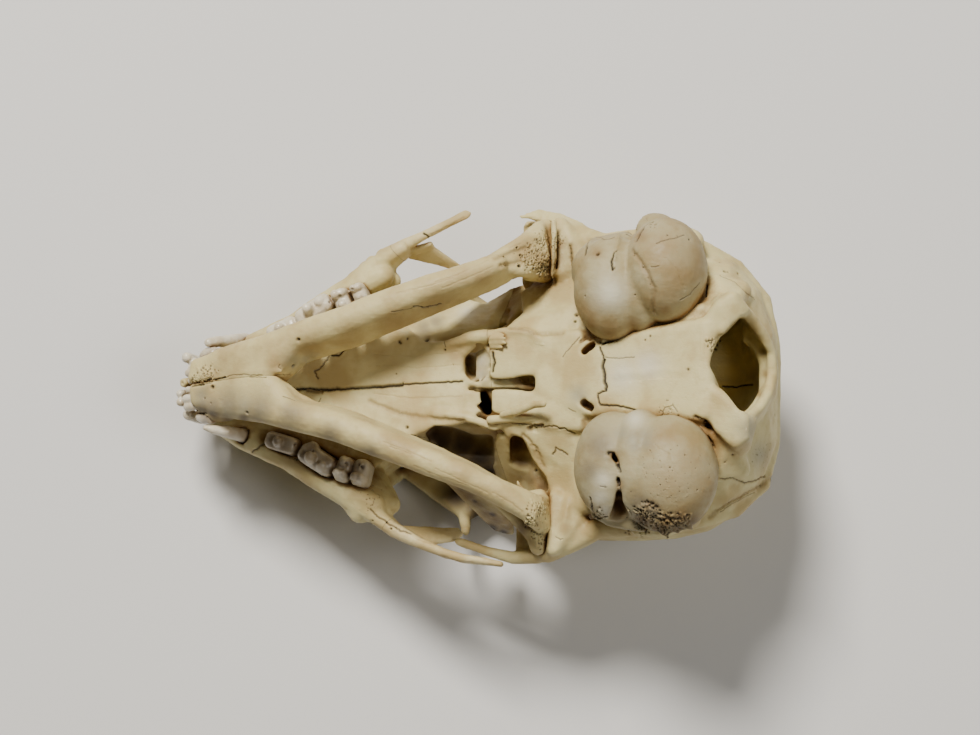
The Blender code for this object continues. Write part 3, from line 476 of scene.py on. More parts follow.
            (732.5, 298, 3.6, 0.8), (721.2, 306.2, 3.7, 0.8), (713, 317.5, 3.4, 0.8),
            (710, 330, 3.2, 0.7), (722.5, 330, 3.4, 0.6), (738.8, 313.8, 3, 0.6),
            (744.5, 310.5, 2.2, 0.55)]),
        ("seen hull", 3, [
            (732.5, 298, 3.6, 0.8), (721.2, 306.2, 2, 1.2), (744.5, 310.5, 2.2, 0.6),
            (741.2, 317.5, 0, 1.2)]),
    ],
    "right condyle": [
        ("seen hull", 3, [
            (703, 395, 3.4, 0.7), (712.5, 391.2, 3.7, 0.7), (722.5, 397.5, 3.7, 0.7),
            (743.8, 420, 3.2, 0.7), (743.8, 436.2, 2.8, 0.7), (735, 442.5, 2.8, 0.7),
            (720, 427.5, 3.2, 0.7)]),
        ("seen hull", 3, [
            (743.8, 420, 3, 0.6), (743.8, 436.2, 2.8, 0.7), (735, 442.5, 2.8, 0.7),
            (747.5, 422.5, 0.6, 1), (740, 445, 0, 1.2), (720, 427.5, 1, 1.2)]),
    ],
    # Basal plate and its side wings, the slope out to the jaw joint, the joint's shelf and the ridge
    # behind it, the root that runs back behind the ear, and the ridge of the nape.
    "base": [
        ("hull", 3, [
            (8.6, 1, 0.1, 0.8), (14, 3.4, 1.1, 0.9), (20, 3.8, 2, 0.9), (27.2, 4.6, 3.4, 1),
            (8.6, -1, 0.1, 0.8), (14, -3.4, 1.1, 0.9), (20, -3.8, 2, 0.9), (27.2, -4.6, 3.4, 1),
            (9, 2, -3, 1), (27, 4, -1, 1)]),
        ("limb", 2, [(18, 0, 2.2, 0.7), (22.5, 0, 2.9, 0.75), (26, 0, 3.5, 0.7)]),
        ("hull", 2, [
            (25.4, 6.4, 1.2, 0.9), (27.4, 10, -0.8, 1.3), (29.6, 9.6, -2.2, 1.3), (29.2, 7, 1.6, 1)]),
        ("limb", 2, [(20, 4.2, 1.6, 0.8), (24, 5.2, 2, 0.9), (26.6, 6.6, 2, 1)]),
        ("hull", 3, [
            (6.6, 6.2, -1.8, 0.8), (5.6, 10.4, -3.6, 0.8), (11.6, 6, -0.6, 0.9), (11.8, 11.6, -2.6, 1),
            (8.6, 12, -3.6, 1), (8, 4.6, -2.6, 1)]),
        ("hull", 2, [
            (5.6, 12.4, -5.2, 1.2), (5.4, 18.4, -4.6, 0.8), (11.4, 12, -3.4, 1.5),
            (11.4, 16.8, -3.6, 1.2)]),
        ("hull", 3, [(9.7, 12.2, -1.9, 0.7), (9.6, 18, -1.8, 0.75), (12, 14.6, -2.6, 1.2)]),
        ("limb", 2, [(11.3, 12.6, -1.4, 0.35), (11.1, 14.6, -1.2, 0.32), (10.6, 17, -1.4, 0.3)]),
        ("limb", 2, [
            (8.6, 18.2, -3.2, 1.1), (11.6, 17, -3.2, 1.1), (14.4, 15.6, -2.6, 1.2),
            (18.5, 15.6, -1.4, 1.3), (22, 15.8, 0.4, 1.5), (24.6, 14.8, -0.6, 1.5)]),
        ("hull", 2, [
            (11.4, 13, -2.6, 1), (13.6, 13.4, -1.4, 1), (13.2, 9.4, -1.4, 1), (10.6, 10.4, -3, 1)]),
        ("limb", 2, [
            (24.4, 15.2, -2.6, 0.9), (28.2, 13.4, -6.6, 0.9), (30.9, 10.2, -9.2, 0.8),
            (31.7, 5.2, -10.8, 0.75), (31.7, 0, -11.2, 0.75)]),
    ],
    # The temple bone's share of the arch: a broken stub on the left, whole on the right.
    "cheek process left": [
        ("seen hull", 2, [
            (517.9, 217.1, -2.4, 0.13), (532.3, 213.2, -2.6, 0.22), (538.9, 211.4, -3, 0.3),
            (537.6, 218.4, -2.6, 0.3), (524, 217.6, -2.4, 0.13)]),
        ("seen hull", 2, [
            (538.9, 211.4, -3.2, 0.34), (559.9, 217.6, -3.4, 0.5), (580, 227.2, -3.2, 0.6),
            (556, 233.8, -3.8, 0.8), (540.6, 222.8, -3.2, 0.5)]),
    ],
    "cheek process right": [
        ("limb", 2, [
            (7.4, 18.4, -3.6, 0.95), (4.6, 18.6, -3.5, 0.75), (1.6, 17.8, -3.6, 0.6),
            (-1.6, 16.7, -3.7, 0.5)]),
    ],
    # Holes: the slit for a nerve and a vessel beside the basal plate.
    "base slit": [
        ("hull", 2, [
            (13.5, 2.75, 0.6, 0.4), (14.5, 3.4, 0.6, 0.4), (13.5, 2.75, 3.6, 0.4),
            (14.5, 3.4, 3.6, 0.4)]),
    ],
    # Edges beside the left rear nostril, and the low lip of the shelf behind the end of the left jaw.
    "base edges": [
        ("seen limb", 2, [
            (499.1, 332.2, 0.3, 0.5), (521, 330.5, 0.7, 0.5), (533, 333.3, 0.9, 0.42),
            (542.4, 341, 1, 0.2)]),
        ("seen limb", 2, [(505.6, 341, 0.3, 0.4), (523.1, 338.8, 0.6, 0.34), (536.3, 341.8, 0.9, 0.16)]),
        ("seen limb", 3, [
            (553.6, 222, 0.3, 0.34), (554.4, 240, 0.2, 0.4), (554.2, 258, 0, 0.4),
            (552.8, 276, -0.8, 0.36)]),
    ],
    # Holes: openings beside the throat plates, the hollow behind the right rear nostril, and the
    # clefts beside the ear capsules.
    "base openings": [
        ("seen limb", 2, [
            (505.2, 322.1, -2.8, 0.35), (507.4, 314.7, -4.2, 0.4), (510, 309.2, -5.6, 0.3)]),
        ("seen limb", 2, [(525.8, 327.4, -0.4, 0.2), (528, 330, 0.2, 0.24), (536.3, 331.3, 0.4, 0.2)]),
        ("shaft", (2, -5), [
            (512.6, 437.4, 0.3), (521, 439.6, 0.3), (531, 461.9, 0.3), (523.1, 483.8, 0.3),
            (512.6, 466.3, 0.3)]),
        ("shaft", (2, -5), [
            (531, 461.9, 0.3), (544.1, 478.9, 0.3), (546.3, 489.9, 0.3), (534.5, 493.8, 0.3),
            (523.1, 483.8, 0.3)]),
        ("limb", 2, [(7, 5.2, 0.2, 0.3), (8.6, 5.2, 0, 0.4), (10.6, 4.9, -1, 0.35)]),
        ("limb", 2, [(10.4, 5.5, 0.4, 0.25), (12, 5.6, 0.2, 0.3), (13.4, 5, -0.8, 0.3)]),
        ("seen limb", 2, [
            (605, 343.5, 2.6, 0.28), (620, 337, 2.6, 0.3), (635, 329.5, 2.6, 0.32),
            (648.8, 322.5, 2.4, 0.26)]),
        ("seen limb", 2, [
            (685, 312.5, 1.4, 0.4), (693.8, 308, 1.2, 0.7), (700.5, 302, 1, 0.6),
            (705.5, 296.2, 0.8, 0.3), (706.8, 283.8, 0.8, 0.22)]),
        ("seen hull", 2, [(657, 315.5, 2.8, 0.3), (663, 315, 2.8, 0.3), (660, 315.5, 1, 0.3)]),
        ("seen limb", 2, [(695, 418, 2.6, 0.2), (703.8, 420.8, 2.4, 0.34), (710, 425, 2.2, 0.24)]),
        ("seen limb", 2, [
            (689.5, 425.5, 2.6, 0.25), (700, 433, 2.4, 0.42), (708, 440, 2.2, 0.4),
            (713, 447, 1.8, 0.2)]),
    ],
    # The funnel of the ear, a soft ridge and the inner edge of the left capsule; then its holes.
    "bulla left": [
        ("hull", 4, [(15.4, 11.4, 2.4, 3.2), (14.2, 14.8, 0.4, 0.8), (17.6, 15.2, 0.6, 0.9)]),
        ("limb", 3, [(17.9, 14.9, 1.6, 0.8), (18.3, 12.6, 3.6, 0.9), (18, 10.8, 5, 0.8)]),
        ("limb", 2, [(20.8, 6.9, 1.4, 0.7), (22.6, 6.6, 1.4, 0.6)]),
    ],
    "bulla left holes": [
        ("limb", 2, [(17.2, 14.6, 3.2, 0.3), (16.9, 12.6, 4.3, 0.28), (16.8, 11.5, 5.2, 0.3)]),
        ("limb", 2, [(16.8, 11.4, 6.6, 0.25), (16.8, 11.4, 4, 0.3)]),
        ("ellipsoid", 3, [(19.4, 16.8, 2.4), (1, 2.2, 1.1)]),
        ("limb", 2, [(20.9, 6.2, 3.2, 0.3), (22.6, 6.4, 3, 0.3)]),
    ],
    # The front edge and the torn edge of the right capsule; then the slits and bites in it.
    "bulla right": [
        ("hull", 3, [(15.2, 12.6, 1.2, 1.5), (15.4, 14.6, 0.8, 0.8), (16.4, 13.6, 1.2, 1)]),
        ("seen hull", 3, [
            (595, 513.8, 1.2, 0.5), (611.2, 523, 1, 0.45), (628.8, 526.5, 0.8, 0.45),
            (642.5, 527.5, 1, 0.5), (635, 505, 1.4, 0.6), (615, 500, 1.6, 0.6)]),
        ("seen limb", 2, [(635, 516.2, 2.4, 0.4), (646.2, 526.2, 2.4, 0.35), (656.2, 530, 2.4, 0.3)]),
        ("seen limb", 2, [(651.2, 520, 3.6, 0.3), (660, 530, 3, 0.3), (668, 537.5, 2.4, 0.22)]),
        ("seen limb", 2, [(660, 520, 3.8, 0.3), (672.5, 527.5, 3.4, 0.28), (678, 533, 2.6, 0.2)]),
        ("seen limb", 2, [(677.5, 520, 3.6, 0.4), (688.8, 527.5, 3, 0.3), (693, 529.2, 2.4, 0.18)]),
    ],
    "bulla right holes": [
        ("shaft", (9, 2.4), [
            (617, 501, 0.2), (610.5, 518, 0.2), (633, 526, 0.2), (624, 511, 0.2), (620.5, 501, 0.2)]),
        ("shaft", (9, 3.2), [(618, 490, 0.13), (619.8, 490, 0.13), (621, 501, 0.16), (617, 501, 0.16)]),
        ("shaft", (9, 4.4), [(618, 480.5, 0.2), (619.5, 482.5, 0.2)]),
        ("shaft", (9, 5.6), [(610.8, 453.5, 0.15), (616, 457.5, 0.17), (618.5, 466, 0.15)]),
        ("seen spots", 2, [
            (642.5, 520.5, 2.8, 0.32), (651.2, 528, 2.4, 0.32), (657.5, 524.5, 3.2, 0.3),
            (665.5, 531, 3, 0.3), (670, 523.5, 3.8, 0.28), (680.5, 528, 3.2, 0.3),
            (647.5, 513, 4.2, 0.26), (651.2, 505, 5, 0.3)]),
    ],
    # Plates beside the throat: the left one is broken down to a splintered crest, the right one keeps
    # its hook, which lies flat on the base of the skull.
    "throat crest left": [
        ("limb", 2, [
            (3, 5.1, 0.4, 0.75), (4.6, 4.9, 0.2, 0.5), (6.4, 4.5, 0.3, 0.55), (8.8, 3.9, 0.7, 0.4)]),
        ("limb", 2, [(2.9, 5.3, 0.5, 0.55), (4.3, 5, 1.1, 0.16)]),
        ("limb", 2, [(2.9, 4.8, 0.7, 0.5), (4.6, 4.6, 1.5, 0.13)]),
        ("limb", 2, [(2.9, 4.4, 0.6, 0.45), (4.7, 4.1, 1.4, 0.12)]),
        ("limb", 2, [(2.9, 4, 0.4, 0.4), (4.2, 3.7, 1.1, 0.12)]),
    ],
    "throat crest right": [
        ("limb", 2, [(2.9, 4.1, 0.2, 0.5), (5, 4, 0.5, 0.5), (9.2, 4.3, 0.5, 0.4)]),
        ("limb", 3, [
            (4.4, 3.7, 0.9, 0.4), (6.2, 3.5, 1.7, 0.5), (8.4, 3, 2.6, 0.42), (9.6, 3.1, 3.3, 0.36)]),
    ],
    # The joined front of the jaw: its swellings, the shelf behind and the spur at its rear edge.
    "chin": [
        ("hull", 2, [(-21.4, 1, 7, 1.1), (-20.6, 1.8, 5.6, 1.2), (-19.8, 0.7, 7.4, 0.7)]),
        ("limb", 2, [(-17.4, 2.6, 5.4, 1.1), (-15.6, 3.3, 4.8, 0.9)]),
    ],
    "chin left": [
        ("seen limb", 3, [(237.6, 355.8, 4.4, 1.1), (221.8, 355.8, 4.4, 0.98), (212.4, 357.4, 4.2, 0.8)]),
        ("seen limb", 2, [(266.1, 370, 7.6, 0.8), (275.5, 370, 7.8, 0.42), (282.2, 371.3, 7.9, 0.14)]),
        ("seen hull", 3, [
            (196.6, 365.3, 4.6, 0.7), (193.4, 377.9, 4.8, 0.6), (212.4, 362.1, 4.8, 1),
            (212.4, 376.3, 5.6, 0.8)]),
    ],
    "chin right": [
        ("seen limb", 3, [(228.2, 411.1, 4.6, 1.1), (217.1, 414.2, 4.4, 0.9), (210.8, 415.8, 4.2, 0.75)]),
        ("seen limb", 2, [(266.1, 379.5, 7.4, 0.7), (274, 377.9, 7.6, 0.32), (278.1, 378.2, 7.6, 0.13)]),
        ("seen hull", 3, [
            (196.6, 398.4, 4.6, 0.7), (195, 389, 4.8, 0.6), (212.4, 404.7, 4.8, 1),
            (212.4, 385.8, 5.6, 0.8)]),
    ],
    # The upright blade for the chewing muscle, the rear end of the jaw, and the blade's hollow, a hole.
    "jaw blade": [
        ("hull", 2, [
            (-1.6, 9.6, 3.4, 0.9), (0.6, 14.3, -10.6, 0.4), (2.2, 14.7, -10.8, 0.4),
            (3.9, 13.2, -3.2, 0.5), (4.6, 12.4, 3.4, 0.9)]),
    ],
    "jaw end left": [
        ("seen hull", 3, [
            (492.5, 264.4, 4.2, 1.1), (521, 242.5, 2.6, 0.7), (521, 269.9, 2.6, 0.75),
            (501.3, 274.2, 2.2, 0.7)]),
        ("seen hull", 3, [
            (521, 242.5, 2.6, 0.7), (521, 269.9, 2.6, 0.75), (539.5, 228.3, -1.2, 0.8),
            (543.9, 274.2, -1, 0.8), (542.8, 255.6, 0.3, 0.8), (538.5, 235.9, 0.6, 0.7)]),
    ],
    "jaw end right": [
        ("seen hull", 3, [
            (489.2, 487, 4.8, 1.3), (510, 499.5, 4, 1.15), (528.6, 513.3, 3, 0.95),
            (537.4, 502.4, 1, 0.8)]),
        ("seen hull", 3, [
            (528.6, 513.3, 3, 0.95), (532.3, 523.1, 2.4, 0.5), (537.4, 502.4, 1, 0.8),
            (542.8, 501.3, -1.4, 0.8), (543.9, 527.5, -1.4, 0.8)]),
    ],
    "blade hollow": [("ellipsoid", 3, [(1.8, 15.2, -4.6), (2, 1, 3.4)])],
}

# Styles of drawn lines: half width and depth in millimetres, shares of dark and of brown, and
# wander in pixels.
STYLES = {
    "crack": (0.10, 0.22, 1.0, 0.0, 0.8),
    "gap": (0.17, 0.40, 1.0, 0.0, 1.0),
    "hairline": (0.055, 0.07, 0.75, 0.2, 0.9),
    "suture": (0.10, 0.13, 0.7, 0.4, 1.7),
    "groove": (0.26, 0.16, 0.12, 0.5, 1.0),
    "trench": (0.24, 0.34, 0.35, 0.9, 0.9),
    "ridge": (0.26, -0.16, 0.0, 0.0, 1.0),
    "grain": (0.09, 0.035, 0.0, 0.35, 0.8),
}

# Lines drawn on each bone, read off the photograph in its pixels.
LINES = {
    "face_bones": [
        ("gap", [(281, 388.6), (299, 389), (320, 389.8), (345, 388.6), (370, 387.5), (403, 384.6)]),
        ("crack", [(403, 384.6), (423, 383.4), (445, 382.4), (463, 381.8)]),
        ("trench", [(306, 390.2), (322, 391.2)]),
        ("hairline", [(320.5, 398.4), (316.6, 406.3)]),
        ("suture", [(329.2, 354.2), (322.9, 364.8), (314, 371), (319, 378)]),
        ("crack", [(331, 348), (329.2, 355), (338.7, 355.8), (345, 348.7)]),
        ("hairline", [(444.4, 341), (445.5, 347.5)]),
        ("crack", [(411.6, 435.6), (419.2, 437.4), (426.2, 438)]),
        ("crack", [(425.1, 443.9), (432.3, 447.7)]),
        ("suture", [(370, 510), (380.9, 519.2), (396.3, 528), (406.1, 533.6)]),
        ("groove", [(370, 401.7), (402.8, 414.8), (435.6, 419.2), (464.1, 420.8)]),
        ("grain", [(374.4, 354.1), (413.8, 356.3), (457.5, 351.9)]),
        ("grain", [(376.6, 365), (418.1, 368.3), (459.7, 365)]),
        ("grain", [(374.4, 394.1), (413.8, 398.4), (461.9, 396.3)]),
        ("suture", [(252, 452), (262, 445), (274, 441)]),
    ],
    "braincase_bones": [
        ("crack", [(600, 347.5), (602, 354.5), (604, 360)]),
        ("gap", [(604, 360), (602.5, 367), (604.5, 375), (603.2, 381), (605.8, 386.2), (604.5, 391)]),
        ("crack", [(604.5, 391), (601.2, 392), (597.5, 394)]),
        ("hairline", [(605.5, 357.5), (617.5, 358.2), (635, 357.2)]),
        ("gap", [(601.2, 343.5), (617.5, 337.8), (632.5, 330), (645, 323), (652, 321.5)]),
        ("crack", [(652, 321.5), (662.5, 321), (670, 323), (677.5, 318.5), (683, 315)]),
        ("crack", [(705.5, 296.2), (707, 283.8)]),
        ("trench", [(581, 340.5), (587.5, 338.2), (599.5, 342)]),
        ("crack", [(600, 404.5), (622.5, 406.2), (637.5, 411.2), (653, 419)]),
        ("suture", [(653, 419), (660, 420.8), (670, 419.5), (677.5, 418), (679.5, 415)]),
        ("hairline", [(660, 420), (665, 407.5), (672.5, 405), (677.5, 411.2)]),
        ("crack", [(597.5, 395), (598.8, 402.5), (600.5, 404.5)]),
        ("trench", [(695.5, 418), (703.8, 421), (710, 425.5)]),
        ("trench", [(689.5, 425.5), (700, 433), (708, 440), (712.5, 447)]),
        ("suture", [
            (720, 478.8), (732.5, 478.2), (738.8, 481.2), (745, 483.8), (751.2, 482.8), (760, 479),
            (765.5, 475)]),
        ("groove", [(710, 517), (725, 506.2), (740, 497.5), (760, 486.2), (772.5, 476.2)]),
        ("hairline", [(720, 512.5), (735, 502), (755, 492)]),
        ("trench", [(570.5, 246.2), (571.5, 257.5), (573, 265.5), (576.5, 264.5)]),
        ("suture", [(552.7, 455.3), (556, 447.9), (561.4, 451.2), (568, 454.4)]),
        ("hairline", [(568.6, 408.9), (575.6, 411.6)]),
        ("hairline", [(562.5, 356.3), (574.6, 343.1), (579.6, 336.6)]),
        ("gap", [(492.1, 353), (493.8, 362.8), (492.1, 371.6)]),
        ("groove", [(510, 327.4), (523.1, 330), (540.6, 334.4), (562.5, 333.3)]),
        ("suture", [(501.3, 421.6), (518.8, 422.5), (536.3, 427.3), (556, 427.3), (575.6, 433.4)]),
        ("trench", [(529.3, 428.6), (533, 426), (542.8, 426.4)]),
        ("groove", [(523.1, 435.6), (536.3, 448.8), (542.8, 466.3)]),
        ("hairline", [(556, 536.3), (559.9, 539.5), (563.4, 538.9)]),
        ("groove", [(554.9, 238.1), (556, 262.2), (552.7, 284.1)]),
        ("crack", [(722.5, 386.2), (735, 387), (752.5, 384.5)]),
        ("hairline", [(720, 275), (735, 282.5), (755, 300)]),
    ],
    "bulla_left_bone": [
        ("crack", [(589.5, 237.5), (586.5, 247.5), (585, 255.5)]),
        ("hairline", [(656.2, 242.8), (670, 239), (685, 235)]),
        ("hairline", [(651.2, 267), (659, 265.5)]),
        ("groove", [(632.5, 251.2), (642.5, 265.5), (648, 275), (653.5, 287.5), (653.5, 312.5)]),
        ("ridge", [(619, 235), (616, 248.8), (614, 260)]),
        ("crack", [(616, 251.2), (611.5, 260.5), (613, 270)]),
        ("gap", [(636.5, 240.5), (639, 235), (642.5, 228)]),
        ("crack", [(642.5, 228), (647.5, 224)]),
        ("hairline", [(592.5, 235), (605, 240), (615, 237.5)]),
        ("hairline", [(680, 300), (690, 295), (700, 282.5)]),
        ("grain", [(665, 257.5), (677.5, 270), (685, 290)]),
    ],
    "bulla_right_bone": [
        ("gap", [(608.8, 453), (613.5, 454.2), (617, 460), (618.2, 466.2), (619.5, 472)]),
        ("gap", [(618.5, 479), (619, 487.5)]),
        ("crack", [(590, 497.5), (592, 510), (597.5, 519), (607.5, 516.2)]),
        ("hairline", [(600, 486.2), (606.5, 487.5)]),
        ("hairline", [(620, 487.5), (622.5, 502.5), (632.5, 515)]),
        ("crack", [(665, 516.2), (677.5, 520), (690, 515)]),
        ("crack", [(635, 510), (645, 516.2), (660, 520), (667.5, 530)]),
        ("crack", [(670, 520), (677.5, 527.5), (685, 530)]),
        ("grain", [(655, 445), (670, 455), (677.5, 475)]),
    ],
    "mandible_left_bone": [
        ("gap", [(191.1, 384.2), (198.9, 383), (212.4, 380.1)]),
        ("crack", [(212.4, 380.1), (219.5, 378.5), (225.8, 377.6)]),
        ("hairline", [(225.8, 377.6), (232.9, 375.1), (247.1, 374.7), (266.1, 375.4)]),
        ("crack", [(413.8, 305.9), (422.5, 307.7), (435.6, 305.5), (441.1, 303.8)]),
        ("hairline", [(391.9, 312.5), (407.2, 309.2), (414.8, 306.2)]),
        ("groove", [(495.8, 258.3), (512.2, 253), (531.9, 245.8)]),
        ("groove", [(501.3, 265.5), (521, 262.2), (533, 265.5)]),
        ("grain", [(510, 247.3), (521, 243.8)]),
        ("grain", [(435.6, 281.9), (461.9, 273.1), (488.1, 260)]),
        ("grain", [(442.2, 288.4), (468.4, 277.5), (492.5, 266.6)]),
        ("grain", [(396.3, 292.8), (426.9, 286.3), (453.1, 277.5)]),
        ("hairline", [(279.5, 364.5), (278.7, 366.8), (281.8, 368.7)]),
        ("hairline", [(274, 375.5), (281.8, 374), (290.5, 375.1)]),
    ],
    "mandible_right_bone": [
        ("gap", [(191.1, 385.5), (198.9, 383.9), (212.4, 381.1)]),
        ("crack", [(212.4, 381.1), (219.5, 379.5), (225.8, 378.5)]),
        ("hairline", [(225.8, 378.5), (232.9, 377), (247.1, 376.3), (266.1, 377.3)]),
        ("crack", [(203.7, 412.6), (207.3, 414.2)]),
        ("hairline", [(283.4, 396.1), (288.2, 397.8), (295.3, 400.6)]),
        ("grain", [(389.7, 446.6), (411.6, 454)]),
        ("grain", [(383.1, 442.2), (407.2, 450.5), (431.3, 461.9)]),
        ("grain", [(435.6, 468.4), (461.9, 481.6), (488.1, 492.5)]),
        ("grain", [(413.8, 466.3), (442.2, 477.2), (468.4, 485.9)]),
        ("grain", [(492.5, 492.5), (512.2, 503.5), (523.1, 512.2)]),
    ],
    "jugal_left_bone": [
        ("crack", [(423.8, 233.8), (427.3, 236.8), (432.6, 239.2)]),
        ("grain", [(431.3, 234.8), (448.8, 226.1), (464.1, 217.3)]),
    ],
    "jugal_right_bone": [
        ("suture", [(383.1, 521), (396.3, 528), (411.6, 533.6)]),
        ("grain", [(418.1, 539.5), (457.5, 550.5), (492.5, 560.3)]),
    ],
}

# Round marks: depth in millimetres, share of dark and of brown; then where each style of them is,
# (pixel u, pixel v, half width in pixels).
DOT_STYLES = {
    "hole": (0.35, 1.0, 0.0),
    "pore": (0.16, 0.85, 0.3),
    "pit": (0.30, 0.7, 1.0),
    "mound": (-0.22, 0.0, 0.0),
}
DOTS = {
    "braincase_bones": [
        ("hole", [(725, 271, 1.5), (728, 272, 1), (738.8, 274, 1.5), (711, 340, 1.6), (715.5, 343, 1.2)]),
        ("pore", [
            (688, 369.5, 1.2), (772.5, 298.8, 1), (720, 262.5, 0.8), (650, 336.2, 1), (645, 340, 0.8),
            (775, 415, 1.2), (732.5, 455, 1), (725, 462.5, 0.8), (605, 487, 1)]),
        ("hole", [
            (576.7, 314.7, 1.6), (575.2, 321.3, 1.2), (535.8, 470.2, 1.2), (543.9, 492.5, 1),
            (499.1, 478.9, 1)]),
    ],
    "face_bones": [
        ("hole", [(407, 427.4, 1.3), (426.6, 339.6, 2.4), (399, 342, 1.4), (445, 350, 0.8)]),
        ("pore", [(400.6, 343.1, 1.2), (407.2, 338.8, 1), (453.1, 365, 0.9), (396.3, 373.8, 0.8)]),
        ("hole", [(372.6, 521, 0.8), (391.9, 529.7, 1.2)]),
    ],
    "bulla_left_bone": [
        ("hole", [
            (597.5, 254, 1.8), (612.8, 268.5, 2), (651.5, 222.5, 1.6), (655, 224.2, 1.1),
            (689.5, 240, 1)]),
        ("pore", [(585, 296.2, 0.8), (667.5, 235, 0.8), (677.5, 236.2, 0.7), (635, 295, 0.7)]),
    ],
    "bulla_right_bone": [
        ("pit", [(647, 503, 2.4), (651.5, 505, 3), (656, 507.5, 2.4)]),
        ("pore", [
            (605, 487.2, 1.2), (670, 467.5, 0.7), (685, 455, 0.6), (697.5, 490, 0.7), (660, 485, 0.6)]),
    ],
    "mandible_left_bone": [
        ("hole", [
            (298.4, 340, 1.8), (293.2, 366.2, 1.5), (482, 235.1, 1), (517, 247.3, 1.2),
            (519.2, 265.7, 1.6), (520.5, 255.2, 1.1)]),
        ("mound", [(315.8, 355.8, 4.5)]),
    ],
    "mandible_right_bone": [
        ("hole", [(212.4, 386.9, 1.6), (246.8, 413, 1.4)]),
        ("pore", [(204.5, 398.4, 1), (210.8, 403.2, 0.8)]),
    ],
    "upper_teeth_right": [
        ("hole", [
            (357.9, 463.9, 3.6), (362.3, 467.3, 2.6), (346.3, 463.9, 1.8), (295.6, 444.7, 1.4),
            (312.6, 450.7, 1)]),
        ("pore", [(275.8, 445.6, 1), (286.1, 453.3, 1)]),
    ],
    "upper_teeth_left": [("hole", [(352, 290, 1.8), (340, 296, 1.4), (330, 302, 1.2)])],
    "jugal_right_bone": [("hole", [(391, 528.8, 1)])],
}

# Porous places: pixel u, pixel v, half width of the place, number of pores and half width of one.
POROUS = {
    "mandible_left_bone": [
        (542.4, 264.4, 14, 130, 1), (541.7, 241.4, 10, 50, 0.8), (529.7, 255.6, 12, 30, 0.7),
        (206.8, 377.1, 10, 70, 0.8), (193.4, 379.5, 5, 24, 0.7)],
    "mandible_right_bone": [
        (540.6, 510, 11, 60, 0.8), (531, 522.1, 6, 34, 1), (539.5, 536.3, 9, 36, 0.7)],
    "braincase_bones": [
        (557, 241.4, 8, 26, 0.6), (712, 342.5, 6, 30, 1), (667.5, 410, 9, 18, 0.6),
        (760, 455, 14, 14, 0.5), (640, 528, 12, 40, 1)],
    "bulla_right_bone": [
        (642.5, 518.2, 12, 80, 1.2), (666, 526.2, 13, 90, 1.3), (682.5, 522, 8, 40, 1.1),
        (597.5, 515, 6, 24, 0.9), (672.5, 480, 34, 50, 0.4)],
    "bulla_left_bone": [(630, 228, 7, 30, 0.8), (651.2, 223, 5, 14, 0.6)],
    "face_bones": [(300, 450, 14, 24, 0.6), (372, 500, 14, 26, 0.5), (410, 300, 10, 12, 0.5)],
}

# How far the pores spread and vary, and the crumb of bone beside each: its width and its height
# against the pore's.
PORE_SPREAD = 0.5
PORE_SIZES = (0.6, 1.3)
CRUMB_WIDTH = 1.3
CRUMB_HEIGHT = 0.6
